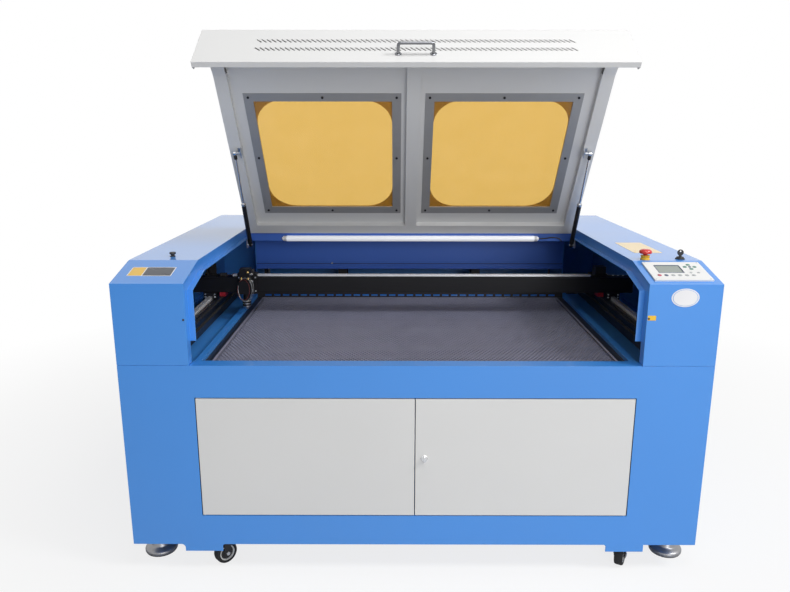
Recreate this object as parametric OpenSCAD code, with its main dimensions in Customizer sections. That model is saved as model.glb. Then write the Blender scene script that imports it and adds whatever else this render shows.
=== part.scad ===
// Carbon dioxide laser cutting machine: a sheet steel body on levelling feet and
// castors, a lifting lid with two amber windows, a gantry over a honeycomb bed,
// and a laser tube in a bay behind.  Millimetres, +Z up, front faces -Y.

/* [Body] */
// Overall width of the body
body_w = 1840; // [1600:10:2240]
// Overall depth of the body
body_d = 1390; // [1150:10:1700]
// Height of the underside of the body above the floor
floor_gap = 100; // [84:1:130]
// Height of the lower cabinet
base_h = 616; // [510:1:760]
// Height of the side cabinets above the lower cabinet
cabinet_h = 299; // [280:1:370]
// Width of each side cabinet
cabinet_w = 222; // [215:1:270]
// Fall of the sloping nose of each side cabinet
nose_fall = 41; // [25:1:60]
// Depth of the sloping nose
nose_d = 170; // [140:1:210]
// Depth of the fixed top behind the lid
rear_top_d = 458; // [400:1:560]
// Depth of the bay that holds the laser tube
tube_bay_d = 300; // [250:1:330]
// Thickness of the sheet steel
sheet_t = 2; // [1.5:0.5:3]
// Depth of the rebate that the lid drops into
rebate_d = 34; // [30:1:40]
// Width of the rebate's seat
rebate_w = 18; // [14:1:22]
// Depth of the flat rim in front of the bed
rim_d = 50; // [40:1:60]

/* [Doors] */
// Height of the sill below the front doors
door_sill = 104; // [80:1:130]
// Height of the panel above the front doors
door_head = 105; // [80:1:130]
// Set-in of the doors from the inner sides of the cabinets
door_inset = 10; // [5:1:40]
// Gap round each door
door_gap = 3; // [3:0.5:4]
// Depth of the folded edge of a door
door_t = 20; // [16:1:24]

/* [Lid] */
// Angle at which the lid stands open
lid_open = 54; // [40:1:60]
// Height of the lid's front wall
hood_h = 193; // [150:1:200]
// Gap between the lid and each side cabinet
lid_gap = 6; // [3:1:8]
// Width of the folded rim inside the lid
lid_rim = 45; // [36:1:54]
// Depth of the lid's folded edge
lid_t = 32; // [26:1:32]
// Width of the post between the windows
post_w = 48; // [40:1:60]
// Distance from the middle of the lid to each window
window_in = 76; // [66:1:90]
// Distance from a window to the lid's side rim
window_out = 73; // [60:1:90]
// Depth of each window from front to back
window_d = 506; // [420:1:520]
// Distance of the windows in front of the hinge line
window_back = 138; // [130:1:150]
// Corner radius of each window
window_r = 105; // [60:1:120]
// Thickness of the amber acrylic
pane_t = 5; // [3:1:6]
// Width of the frame that holds each pane
frame_w = 33; // [26:1:36]
// Length of one slanting louvre slot
slot_l = 26; // [18:1:28]
// Width of one louvre slot
slot_w = 4.4; // [2:0.2:5]
// Distance between louvre slots
slot_pitch = 15.8; // [14:0.2:20]
// Length of the lid's pull handle
handle_l = 110; // [90:1:160]
// Reach of the pull handle
handle_out = 42; // [35:1:55]
// Thickness of the pull handle
handle_r = 5; // [4:0.5:6]

/* [Gas struts] */
// Distance of the upper strut pivot from the hinge line
strut_s = 442; // [400:1:470]
// Distance of the lower strut pivot in front of the hinge line
strut_back = 82; // [70:1:100]
// Radius of the strut's tube
strut_r = 9; // [8:0.5:10]
// Radius of the strut's rod
strut_rod_r = 4; // [3:0.5:5]
// Length of the strut's tube
strut_tube_l = 205; // [190:1:215]

/* [Bed and gantry] */
// Thickness of the honeycomb panel
comb_t = 22; // [15:1:30]
// Depth of the honeycomb below the rim
comb_drop = 10; // [4:1:16]
// Width of the bed's edge channel
edge_w = 24; // [18:1:30]
// Width of the flat strip beside the bed
strip_w = 22; // [18:1:26]
// Depth of the side troughs below the rim
trough_d = 26; // [20:1:32]
// Distance of the gantry's front face from the machine's front
gantry_y = 650; // [560:1:700]
// Height of the gantry beam's underside above the rim
gantry_lift = 81; // [76:1:95]
// Side of the square gantry beam
beam_s = 60; // [50:1:66]
// Wall of the gantry beam
beam_wall = 3; // [2:0.5:5]
// Distance of the laser head from the middle of the machine
head_x = 645; // [400:1:648]
// Width of the linear guide rails
guide_w = 15; // [12:1:20]
// Height of the linear guide rails
guide_h = 15; // [12:1:16]
// Radius of the belt pulleys
pulley_r = 14; // [12:0.5:16]
// Thickness of the belts
belt_t = 1.6; // [1.2:0.2:2.4]
// Width of the belts
belt_w = 15; // [10:1:15]
// Radius of the drive shaft
shaft_r = 6; // [5:0.5:8]

/* [Laser] */
// Radius of the laser tube
tube_r = 40; // [25:1:45]
// Length of the laser tube
tube_l = 1250; // [900:10:1330]

/* [Feet and castors] */
// Radius of a levelling foot
foot_r = 54; // [40:1:58]
// Distance of the feet from the sides of the body
foot_x = 44; // [40:1:80]
// Distance of the feet from the front and back
foot_y = 126; // [100:1:150]
// Distance of the castors from the inner sides of the cabinets
castor_in = 38; // [30:1:60]
// Shift of the two front castors to the right
castor_shift = 51; // [0:1:51]
// Distance of the castors from the front and back
castor_y = 79; // [79:1:110]
// Radius of a castor wheel
wheel_r = 37.5; // [30:0.5:38]
// Width of a castor wheel
wheel_w = 28; // [22:1:30]
// Trail of a castor wheel behind its swivel
trail = 36; // [28:1:36]

/* [Controls] */
// Width of the control panel
panel_w = 178; // [140:1:180]
// Depth of the control panel along the slope
panel_d = 132; // [100:1:134]
// Radius of the emergency stop's mushroom head
stop_r = 20; // [16:1:22]

/* [Back] */
// Radius of each exhaust duct collar
duct_r = 75; // [50:1:80]
// Length of each exhaust duct collar
duct_l = 60; // [40:1:80]

/* [Hidden] */
$fn = 48;

// Clearances of a seat and of a running fit, and the reach of the door lock's knob
seat = 0.3;
run = 0.05;
lock_out = 14;

// Main levels and faces, with y measured back from the front of the body
half_w = body_w / 2;
open_x = half_w - cabinet_w;
deck_z = floor_gap + base_h;
top_z = deck_z + cabinet_h;
nose_z = top_z - nose_fall;
nose_a = atan(nose_fall / nose_d);
front_y = -(body_d + duct_l - lock_out) / 2;
wall_y = body_d - tube_bay_d;

// The lid's hinge line
hinge_y = body_d - rear_top_d;
hinge_z = top_z - 17;
lid_x = open_x - lid_gap;
hood_z = nose_z - hood_h;
rim_z = top_z - lid_t;

// Windows, as distances in front of the hinge line and from the middle
pane_x0 = window_in;
pane_x1 = lid_x - lid_rim - window_out;
pane_w = pane_x1 - pane_x0;
pane_d = min(window_d, hinge_y - window_back - nose_d - 20);
pane_y = hinge_y - window_back - pane_d;
inner_z = rim_z + 21;

// Strut pivots in the lid's own closed position and in the body
strut_x = lid_x - 22;
strut_drop = 32;
strut_lid = [hinge_y - strut_s, hinge_z - strut_drop];
strut_base = [hinge_y - strut_back, hinge_z - 43];
strut_top = [
    hinge_y - strut_s * cos(lid_open) - strut_drop * sin(lid_open),
    hinge_z + strut_s * sin(lid_open) - strut_drop * cos(lid_open)];
strut_len = norm(strut_top - strut_base);
strut_tilt = atan2(strut_top[1] - strut_base[1], strut_base[0] - strut_top[0]);

// Bed
bed_x = open_x - 4 - strip_w;
comb_x = bed_x - edge_w;
comb_z = deck_z - comb_drop;
bed_y0 = rim_d + 4;
bed_y1 = wall_y - 134;
trough_z = deck_z - trough_d;
bed_z0 = comb_z - comb_t - 4;

// Gantry and its drives
beam_z = deck_z + gantry_lift;
gantry_x = half_w - 50;
rail_x = open_x + 97;
rail_w = 40;
rail_z = beam_z - 14 - guide_h;
belt_x = open_x + 50;
belt_z = rail_z - 4;
drive_y = wall_y - 24;
idler_y = 44;
x_belt_z = beam_z + beam_s / 2;
x_pulley_y = gantry_y + beam_s + 22;
x_pulley_x = rail_x - 35;
head_w = 76;
lens_y = gantry_y - 36;
lens_r = 13;
nozzle_z = comb_z + 34;

// Doors
door_x = open_x - door_inset;
door_z0 = floor_gap + door_sill;
door_z1 = deck_z - door_head;
door_pin = 5;

// Castors and feet
castor_x = open_x - castor_in;
castor_left = castor_shift - castor_x;
castor_right = castor_shift + castor_x;
wheel_z = wheel_r + 1;
fork_z = wheel_r * 2 + 6;
// Each front castor's trail, as the angle it points from its swivel
left_turn = -137;
right_turn = -118;
rear_turn = -90;

// The profile of the side cabinets and the lid, set in from the outside
function nose(inset, low, back) = [
    [inset, low],
    [inset, nose_z + inset * tan(nose_a) - inset / cos(nose_a)],
    [(nose_fall - inset + inset / cos(nose_a)) / tan(nose_a), top_z - inset],
    [back, top_z - inset],
    [back, low]];

module placed() {
    translate([0, front_y, 0]) children();
}

module both() {
    children();
    mirror([1, 0, 0]) children();
}

// A side profile drawn in y and z, made solid from x0 to x1
module along_x(x0, x1) {
    translate([x0, 0, 0]) rotate([90, 0, 90]) linear_extrude(x1 - x0) children();
}

module box(x0, x1, y0, y1, z0, z1) {
    translate([x0, y0, z0]) cube([x1 - x0, y1 - y0, z1 - z0]);
}

module ring(in0, in1, low, back) {
    difference() {
        polygon(nose(in0, low, back));
        polygon(nose(in1, low - 1, back + 1));
    }
}

// A round bar along x, y or z
module bar_x(x0, x1, y, z, r) {
    translate([x0, y, z]) rotate([0, 90, 0]) cylinder(r = r, h = x1 - x0);
}

module bar_y(x, y0, y1, z, r) {
    translate([x, y0, z]) rotate([-90, 0, 0]) cylinder(r = r, h = y1 - y0);
}

module bar_z(x, y, z0, z1, r) {
    translate([x, y, z0]) cylinder(r = r, h = z1 - z0);
}

// Rounded rectangle from its lower corner, made of two bars and four discs
module rounded(w, h, r) {
    translate([r, 0]) square([w - 2 * r, h]);
    translate([0, r]) square([w, h - 2 * r]);
    for (x = [r, w - r], y = [r, h - r]) translate([x, y]) circle(r = r);
}

// Body of the machine

tube_s = 40;
tube_wall = 2.5;
frame_x = half_w - sheet_t - tube_s;
frame_y0 = sheet_t + door_t + 4;
frame_y1 = body_d - sheet_t - tube_s;
frame_z0 = floor_gap + sheet_t;
frame_z1 = bed_z0;

module square_tube_x(x0, x1, y, z) {
    difference() {
        box(x0, x1, y, y + tube_s, z, z + tube_s);
        box(x0 - 1, x1 + 1, y + tube_wall, y + tube_s - tube_wall, z + tube_wall, z + tube_s - tube_wall);
    }
}

module square_tube_y(x, y0, y1, z) {
    difference() {
        box(x, x + tube_s, y0, y1, z, z + tube_s);
        box(x + tube_wall, x + tube_s - tube_wall, y0 - 1, y1 + 1, z + tube_wall, z + tube_s - tube_wall);
    }
}

module square_tube_z(x, y, z0, z1) {
    difference() {
        box(x, x + tube_s, y, y + tube_s, z0, z1);
        box(x + tube_wall, x + tube_s - tube_wall, y + tube_wall, y + tube_s - tube_wall, z0 - 1, z1 + 1);
    }
}

module base_frame() {
    color([0.16, 0.17, 0.19]) placed() {
        both() {
            for (y = [frame_y0, frame_y1])
                square_tube_z(frame_x, y, frame_z0, frame_z1 - tube_s);
            for (z = [frame_z0, frame_z1 - tube_s])
                square_tube_y(frame_x, frame_y0 + (z == frame_z0 ? tube_s : 0),
                    z == frame_z0 ? frame_y1 : frame_y1 + tube_s, z);
            square_tube_y(rail_x - tube_s / 2, frame_y0 + tube_s, frame_y1, frame_z1 - tube_s);
            for (y = [frame_y0, frame_y1])
                square_tube_z(door_x + 6, y, frame_z0 + tube_s, frame_z1 - tube_s);
        }
        for (y = [frame_y0, frame_y1]) {
            square_tube_x(-frame_x, frame_x, y, frame_z1 - tube_s);
            square_tube_x(-frame_x, frame_x, y, frame_z0);
        }
        for (k = [1 : 3])
            square_tube_x(-rail_x + tube_s / 2, rail_x - tube_s / 2,
                bed_y0 + (bed_y1 - bed_y0) * k / 4 - tube_s / 2, bed_z0 - tube_s);
    }
}

module base_shell() {
    lip = 22;
    color([0.24, 0.53, 0.86]) placed() {
        difference() {
            box(-half_w, half_w, 0, sheet_t, floor_gap, deck_z);
            box(-door_x, door_x, -1, sheet_t + 1, door_z0, door_z1);
        }
        // Folded edges above and below the doors, which carry the door pins
        difference() {
            union() {
                box(-door_x, door_x, 0, lip, door_z1, door_z1 + sheet_t);
                box(-door_x, door_x, 0, lip, door_z0 - sheet_t, door_z0);
            }
            both() bar_z(door_x - door_gap - door_pin, door_pin, door_z0 - 5, door_z1 + 5, 3);
        }
        both() {
            difference() {
                box(half_w - sheet_t, half_w, 0, body_d - sheet_t, floor_gap, deck_z);
                box(half_w - sheet_t - 1, half_w + 1, side_y0 + 12, side_y1 - 12, side_z0 + 12, side_z1 - 12);
            }
            // Folded top edge that the side cabinet stands on
            box(half_w - 30, half_w, 0, body_d - sheet_t, deck_z - sheet_t, deck_z);
            box(open_x, half_w, 0, 30, deck_z - sheet_t, deck_z);
        }
        // Tabs that hide the front castors' plates
        castor_tab(false);
        mirror([1, 0, 0]) castor_tab(true);
        box(-half_w, half_w, 0, body_d - sheet_t, floor_gap, floor_gap + sheet_t);
        // Flat rim in front of the bed
        box(-open_x, open_x, 0, rim_d, deck_z - sheet_t, deck_z);
        box(-open_x, open_x, rim_d - sheet_t, rim_d, trough_z - sheet_t, deck_z);
    }
}

tab_x = open_x - 9;
tab_w = 123;
tab_h = 25;
tab_r = 13;
module castor_tab(fillet) {
    translate([tab_x, sheet_t, floor_gap]) rotate([90, 0, 0]) linear_extrude(sheet_t) {
        polygon([[-tab_w / 2 - 5, 0], [-tab_w / 2, -5], [-tab_w / 2, -tab_h],
            [tab_w / 2, -tab_h], [tab_w / 2, 0]]);
        if (fillet) translate([tab_w / 2, -tab_r]) difference() {
            square(tab_r);
            translate([tab_r, 0]) circle(r = tab_r);
        }
    }
}

side_y0 = 300;
side_y1 = body_d - 250;
side_z0 = floor_gap + 110;
side_z1 = deck_z - 110;

// Slotted covers on the two sides and the back of the lower cabinet
module louvre_panels() {
    color([0.24, 0.53, 0.86]) placed() {
        both() difference() {
            box(half_w, half_w + sheet_t, side_y0, side_y1, side_z0, side_z1);
            for (k = [0 : 11], j = [-1, 1])
                box(half_w - 1, half_w + sheet_t + 1, (side_y0 + side_y1) / 2 + j * 110 - 80,
                    (side_y0 + side_y1) / 2 + j * 110 + 80, side_z1 - 60 - k * 16, side_z1 - 56 - k * 16);
        }
        difference() {
            box(-vent_w, vent_w, body_d, body_d + sheet_t, vent_z - 20, vent_z + vent_h - 20);
            for (k = [0 : 12], j = [-1, 0, 1])
                box(j * 275 - 105, j * 275 + 105, body_d - 1, body_d + sheet_t + 1,
                    vent_z + k * 14, vent_z + k * 14 + 4);
        }
    }
}

duct_x = half_w * 0.33;
duct_z = deck_z - duct_r - 60;
vent_z = floor_gap + 170;
vent_w = 430;
vent_h = 226;
inlet_x = -half_w + 150;

module rear_panel() {
    color([0.24, 0.53, 0.86]) placed() {
        difference() {
            box(-open_x + seat, open_x - seat, body_d - sheet_t, body_d, floor_gap, top_z - 16);
            for (s = [-1, 1])
                box(s * duct_x - duct_r + 6, s * duct_x + duct_r - 6, body_d - sheet_t - 1, body_d + 1,
                    duct_z - duct_r + 6, duct_z + duct_r - 6);
            box(-vent_w + 12, vent_w - 12, body_d - sheet_t - 1, body_d + 1, vent_z - 8, vent_z + vent_h - 32);
        }
        // A narrow sheet closes each side, the left one with the inlet's hole
        difference() {
            both() box(open_x, half_w, body_d - sheet_t, body_d, floor_gap, deck_z);
            box(inlet_x - 25, inlet_x + 25, body_d - sheet_t - 1, body_d + 1, vent_z - 15, vent_z + 15);
        }
    }
}

// One side cabinet, drawn on the right: skin, outer side, and the stepped rebate.
// It stands on folded feet that leave a fine seam above the lower cabinet
seam_h = 1.6;
module side_cabinet() {
    low = deck_z + seam_h;
    along_x(open_x, half_w) ring(0, sheet_t, low, body_d);
    along_x(half_w - sheet_t, half_w) polygon(nose(0, low, body_d));
    box(open_x, half_w, body_d - sheet_t, body_d, low, top_z);
    along_x(open_x, open_x + sheet_t) difference() {
        polygon(nose(0, low, body_d));
        polygon(nose(rebate_d, deck_z - 1, wall_y));
    }
    along_x(open_x - rebate_w, open_x + sheet_t) difference() {
        ring(rebate_d, rebate_d + sheet_t, hood_z + 5, hinge_y - 26);
        translate([-1, hood_z - 100]) square([200, 105]);
    }
    // Folded feet that stand on the lower cabinet
    box(half_w - 26, half_w - sheet_t / 2, sheet_t / 2, body_d - sheet_t / 2, deck_z, low + 1);
    box(open_x + sheet_t / 2, half_w - sheet_t, sheet_t / 2, 26, deck_z, low + 1);
}

module left_cabinet() {
    color([0.27, 0.56, 0.88]) placed() mirror([1, 0, 0]) side_cabinet();
}

panel_x = (open_x + half_w) / 2;
panel_s = 21;
stop_at = [open_x + 48, nose_d + 22];
key_at = [half_w - 57, nose_d + 32];

// Moves a child onto the slope of the nose: x across, y up the slope
module on_slope() {
    translate([0, 0, nose_z]) rotate([nose_a, 0, 0]) children();
}

module right_cabinet() {
    color([0.27, 0.56, 0.88]) placed() difference() {
        side_cabinet();
        on_slope() box(panel_x - panel_w / 2 + 12, panel_x + panel_w / 2 - 12,
            panel_s + 12, panel_s + panel_d - 12, -sheet_t - 4, 4);
        bar_z(stop_at[0], stop_at[1], top_z - sheet_t - 1, top_z + 1, 11.1);
        bar_z(key_at[0], key_at[1], top_z - sheet_t - 1, top_z + 1, 8.1);
    }
}

// Blue channel across the machine that carries the lid's hinges and the lamp
channel_y = hinge_y + 6;
channel_h = 42;
module cross_channel() {
    color([0.2, 0.42, 0.78]) placed() {
        box(-open_x + seat, open_x - seat, channel_y, channel_y + sheet_t, rim_z - 25, hinge_z + 2);
        box(-open_x + seat, open_x - seat, channel_y, channel_y + 34, hinge_z, hinge_z + 2);
        box(-open_x + seat, open_x - seat, channel_y, channel_y + 34, rim_z - 25, rim_z - 25 + sheet_t);
    }
}

vent_gap = 92;
module inner_back_wall() {
    color([0.18, 0.36, 0.74]) placed() {
        box(-open_x + seat, open_x - seat, wall_y, wall_y + sheet_t, deck_z + vent_gap, rim_z);
        box(-open_x + seat, open_x - seat, wall_y - 14, wall_y + sheet_t,
            deck_z + vent_gap, deck_z + vent_gap + sheet_t);
        box(-open_x + seat, open_x - seat, wall_y - 4, wall_y, deck_z + vent_gap, deck_z + vent_gap + 14);
    }
}

// Folded sheet each side of the bed: a trough and a flat strip, and the smoke channel behind
module inner_deck() {
    deck_y0 = rim_d + seat;
    channel_y0 = bed_y1 + sheet_t + seat;
    color([0.3, 0.58, 0.9]) placed() {
        both() {
            box(bed_x + strip_w - sheet_t, rail_x - rail_w / 2 - seat, deck_y0, wall_y - seat,
                trough_z - sheet_t, trough_z);
            box(bed_x + strip_w - sheet_t, bed_x + strip_w, deck_y0, wall_y - seat, trough_z - sheet_t, deck_z);
            box(bed_x, bed_x + strip_w, deck_y0, wall_y - seat, deck_z - sheet_t, deck_z);
            box(bed_x, bed_x + sheet_t, deck_y0, wall_y - seat, bed_z0, deck_z);
        }
        // Smoke channel behind the bed, open below towards the exhaust ducts
        difference() {
            box(-bed_x, bed_x, channel_y0, wall_y - seat, bed_z0, bed_z0 + sheet_t);
            for (k = [-4 : 4])
                box(k * bed_x / 5 - 50, k * bed_x / 5 + 50, wall_y - 80, wall_y - 40, bed_z0 - 1, bed_z0 + 3);
        }
        box(-bed_x, bed_x, wall_y - seat - sheet_t, wall_y - seat, bed_z0, deck_z + 2);
    }
}

slot_step = 39;
strip_slots = floor((comb_x - 20) / slot_step);
module bed_frame() {
    color([0.07, 0.07, 0.08]) placed() {
        difference() {
            box(-bed_x + seat, bed_x - seat, bed_y0, bed_y1, bed_z0, comb_z - 2);
            box(-comb_x - seat, comb_x + seat, bed_y0 + 6, bed_y1 - 6, comb_z - comb_t, comb_z + 1);
            box(-comb_x + 20, comb_x - 20, bed_y0 + 26, bed_y1 - 26, bed_z0 - 1, comb_z);
        }
        // Upright strip behind the bed with a row of smoke slots
        difference() {
            box(-bed_x + seat, bed_x - seat, bed_y1, bed_y1 + sheet_t, bed_z0, comb_z + 22);
            for (k = [-strip_slots : strip_slots])
                box(k * slot_step - 14, k * slot_step + 14, bed_y1 - 1, bed_y1 + sheet_t + 1,
                    comb_z + 4, comb_z + 12);
        }
    }
}

module honeycomb_bed() {
    color([0.36, 0.36, 0.4]) placed()
        box(-comb_x, comb_x, bed_y0 + 6 + seat, bed_y1 - 6 - seat, comb_z - comb_t, comb_z);
}

// Black beams under the Y guides, bored for the drive shaft and the idler axle
module y_rail_beams() {
    color([0.06, 0.06, 0.07]) placed() both() difference() {
        box(rail_x - rail_w / 2, rail_x + rail_w / 2, frame_y0 + 4, wall_y - 4, frame_z1, rail_z);
        box(rail_x - rail_w / 2 + 4, rail_x + rail_w / 2 - 4, frame_y0 + 70, wall_y - 70, frame_z1 - 1, rail_z - 8);
        bar_x(rail_x - rail_w, rail_x + rail_w, drive_y, belt_z, shaft_r + run);
        bar_x(rail_x - rail_w, rail_x + rail_w, idler_y, belt_z, shaft_r + run);
    }
}

guide_screws = floor((drive_y - idler_y - 110) / 60);
module y_guide_rails() {
    color([0.75, 0.76, 0.78]) placed() both() difference() {
        box(rail_x - guide_w / 2, rail_x + guide_w / 2, idler_y + 30, drive_y - 26, rail_z, rail_z + guide_h);
        for (j = [-1, 1])
            box(rail_x + j * guide_w / 2 - 2, rail_x + j * guide_w / 2 + 2, idler_y + 29, drive_y - 25,
                rail_z + guide_h / 2 - 2, rail_z + guide_h / 2 + 2);
        for (k = [0 : guide_screws])
            bar_z(rail_x, idler_y + 55 + k * 60, rail_z + guide_h - 5, rail_z + guide_h + 1, 4);
    }
}

// A flat belt loop round two equal pulleys, in the plane of its length and height
module belt_loop(span, r, w) {
    translate([0, 0, -w / 2]) linear_extrude(w) difference() {
        union() {
            translate([0, -r - belt_t]) square([span, 2 * r + 2 * belt_t]);
            for (x = [0, span]) translate([x, 0]) circle(r = r + belt_t);
        }
        translate([0, -r]) square([span, 2 * r]);
        for (x = [0, span]) translate([x, 0]) circle(r = r);
    }
}

module y_belts() {
    color([0.05, 0.05, 0.05]) placed() both()
        translate([belt_x, idler_y, belt_z]) rotate([90, 0, 90])
            belt_loop(drive_y - idler_y, pulley_r + seat, belt_w - 3);
}

lamp_r = 12;
lamp_l = open_x * 2 - 340;
module work_lamp() {
    lamp_y = channel_y - lamp_r - 4;
    lamp_z = rim_z - 12;
    color([0.96, 0.97, 1.0]) placed() {
        bar_x(-lamp_l / 2, lamp_l / 2, lamp_y, lamp_z, lamp_r);
        both() {
            bar_x(lamp_l / 2, lamp_l / 2 + 16, lamp_y, lamp_z, lamp_r - 3);
            box(lamp_l / 2 + 4, lamp_l / 2 + 14, lamp_y, channel_y, lamp_z - 4, lamp_z + 4);
        }
    }
}

// Laser bay
laser_y = wall_y + 130;
laser_z = deck_z + 150;
module laser_tube() {
    color([0.85, 0.9, 0.95]) placed() {
        bar_x(-tube_l / 2, tube_l / 2, laser_y, laser_z, tube_r);
        both() bar_x(tube_l / 2, tube_l / 2 + 22, laser_y, laser_z, tube_r * 0.45);
    }
}

module tube_supports() {
    mirror_x = -open_x + 26;
    color([0.12, 0.12, 0.13]) placed() {
        both() difference() {
            union() {
                box(tube_l / 4 - 12, tube_l / 4 + 12, laser_y - tube_r - 14, laser_y + tube_r + 14,
                    laser_z - tube_r - 20, laser_z + tube_r + 14);
                box(tube_l / 4 - 30, tube_l / 4 + 30, laser_y - tube_r - 20, laser_y + tube_r + 20,
                    laser_z - tube_r - 28, laser_z - tube_r - 16);
                box(tube_l / 4 - 20, tube_l / 4 + 20, laser_y - tube_r, laser_y + tube_r,
                    deck_z + 2, laser_z - tube_r - 20);
            }
            bar_x(tube_l / 4 - 31, tube_l / 4 + 31, laser_y, laser_z, tube_r + seat);
        }
        // First mirror on its post, and the shelf that carries the bay's parts
        box(mirror_x - 10, mirror_x, laser_y - 30, laser_y + 30, deck_z + 2, laser_z + 30);
        bar_x(mirror_x, mirror_x + 10, laser_y, laser_z, 22);
        box(-open_x + seat, open_x - seat, wall_y + sheet_t + seat, body_d - sheet_t - seat, deck_z, deck_z + 2);
    }
}

motor_s = 57;
module y_motor() {
    motor_x = rail_x + rail_w / 2 + 16;
    color([0.08, 0.08, 0.09]) placed() {
        difference() {
            union() {
                box(motor_x, motor_x + 56, drive_y - motor_s / 2, drive_y + motor_s / 2,
                    belt_z - motor_s / 2, belt_z + motor_s / 2);
                box(motor_x - 15.7, motor_x, drive_y - motor_s / 2, drive_y + motor_s / 2,
                    belt_z - motor_s / 2, belt_z + motor_s / 2);
            }
            bar_x(motor_x - 20, motor_x - 4, drive_y, belt_z, shaft_r + 8);
            bar_x(motor_x - 20, motor_x + 18, drive_y, belt_z, shaft_r + run);
        }
    }
}

// Control panel: a bezel on the slope with its keys, and a screen sunk in it
bezel_t = 5;
screen_w = 76;
screen_d = 54;
screen_at = [panel_x - panel_w / 2 + 30, panel_s + panel_d - 80];
// Keys as [across the panel from its left side, up the slope from its lower side]
small_keys = [for (k = [0 : 5]) [24 + 21 * k, 33]];
side_keys = [[127, 51], [150, 51]];
arrow_keys = [for (k = [0 : 3]) [138 + 14 * cos(k * 90), 94 + 14 * sin(k * 90)]];
module control_panel() {
    color([0.93, 0.93, 0.92]) placed() on_slope() {
        difference() {
            union() {
                box(panel_x - panel_w / 2, panel_x + panel_w / 2, panel_s, panel_s + panel_d, 0, bezel_t);
                box(panel_x - panel_w / 2 + 14, panel_x + panel_w / 2 - 14,
                    panel_s + 14, panel_s + panel_d - 14, -30, 0);
            }
            box(screen_at[0], screen_at[0] + screen_w, screen_at[1], screen_at[1] + screen_d,
                bezel_t - 3, bezel_t + 1);
        }
        for (p = concat(small_keys, side_keys, arrow_keys))
            if (p[0] < panel_w - 8 && p[1] < panel_d - 8)
                translate([panel_x - panel_w / 2 + p[0], panel_s + p[1], bezel_t]) cylinder(r = 5, h = 1);
    }
}

module control_screen() {
    color([0.55, 0.6, 0.55]) placed() on_slope()
        box(screen_at[0] + seat, screen_at[0] + screen_w - seat, screen_at[1] + seat,
            screen_at[1] + screen_d - seat, bezel_t - 3, bezel_t - 1);
}

// Collar of the emergency stop and the key switch, each with its barrel below
module switch_bodies() {
    color([0.95, 0.75, 0.1]) placed() {
        difference() {
            union() {
                bar_z(stop_at[0], stop_at[1], top_z, top_z + 14, 15);
                bar_z(stop_at[0], stop_at[1], top_z - 45, top_z, 11 - seat);
            }
            bar_z(stop_at[0], stop_at[1], top_z - 20, top_z + 15, 7 + run);
        }
        difference() {
            union() {
                bar_z(key_at[0], key_at[1], top_z, top_z + 7, 15);
                bar_z(key_at[0], key_at[1], top_z - 35, top_z, 8 - seat);
            }
            bar_z(key_at[0], key_at[1], top_z - 8, top_z + 8, 5 + run);
        }
    }
}

module estop_button() {
    color([0.85, 0.12, 0.08]) placed() {
        bar_z(stop_at[0], stop_at[1], top_z - 12, top_z + 22, 7);
        translate([stop_at[0], stop_at[1], top_z + 20]) rotate_extrude()
            polygon([[0, 0], [stop_r - 3, 0], [stop_r, 3], [stop_r, 8], [stop_r - 5, 13], [0, 14]]);
    }
}

module key() {
    color([0.1, 0.1, 0.12]) placed() {
        bar_z(key_at[0], key_at[1], top_z - 6, top_z + 9, 5);
        box(key_at[0] - 4, key_at[0] + 4, key_at[1] - 1.5, key_at[1] + 1.5, top_z + 8, top_z + 16);
        difference() {
            bar_y(key_at[0], key_at[1] - 1.5, key_at[1] + 1.5, top_z + 21, 10);
            bar_y(key_at[0], key_at[1] - 3, key_at[1] + 3, top_z + 25, 3);
        }
    }
}

module exhaust_ducts() {
    color([0.7, 0.71, 0.73]) placed() for (s = [-1, 1]) difference() {
        union() {
            bar_y(s * duct_x, body_d, body_d + duct_l, duct_z, duct_r);
            bar_y(s * duct_x, body_d, body_d + 3, duct_z, duct_r + 24);
        }
        bar_y(s * duct_x, body_d - 1, body_d + duct_l + 1, duct_z, duct_r - 2);
    }
}

module power_inlet() {
    color([0.06, 0.06, 0.06]) placed() difference() {
        union() {
            box(inlet_x - 24.7, inlet_x + 24.7, body_d - 30, body_d + 3, vent_z - 14.7, vent_z + 14.7);
            box(inlet_x - 32, inlet_x + 32, body_d, body_d + 3, vent_z - 22, vent_z + 22);
        }
        box(inlet_x - 13, inlet_x + 13, body_d - 16, body_d + 4, vent_z - 9, vent_z + 9);
    }
}

// Laser supply and motion controller on the floor of the lower cabinet
module electronics() {
    color([0.6, 0.62, 0.64]) placed() {
        box(open_x * 0.55, open_x * 0.55 + 150, body_d - 420, body_d - 160, frame_z0, frame_z0 + 180);
        box(open_x * 0.2, open_x * 0.2 + 180, body_d - 420, body_d - 300, frame_z0, frame_z0 + 110);
    }
}

// Castors: the fixed plates at the front, and the rear pair with fixed forks
module castor_fork(x, y, turn) {
    wx = x + cos(turn) * trail;
    wy = y + sin(turn) * trail;
    spread = wheel_w / 2 + 1.5;
    difference() {
        union() {
            bar_z(x, y, fork_z, floor_gap - 6 - seat, 24);
            translate([(x + wx) / 2, (y + wy) / 2, fork_z]) rotate([0, 0, turn])
                translate([-trail / 2 - 12, -spread - 3, 0]) cube([trail + 24, 2 * spread + 6, 4]);
            translate([wx, wy, 0]) rotate([0, 0, turn]) for (s = [-1, 1])
                translate([0, s * spread - (s < 0 ? 3 : 0), 0]) {
                    translate([-12, 0, wheel_z]) cube([24, 3, fork_z - wheel_z + 2]);
                    translate([0, 0, wheel_z]) rotate([-90, 0, 0]) cylinder(r = 12, h = 3);
                }
        }
        translate([wx, wy, wheel_z]) rotate([0, 0, turn]) rotate([90, 0, 0])
            cylinder(r = 4 + run, h = 80, center = true);
    }
}

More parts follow.
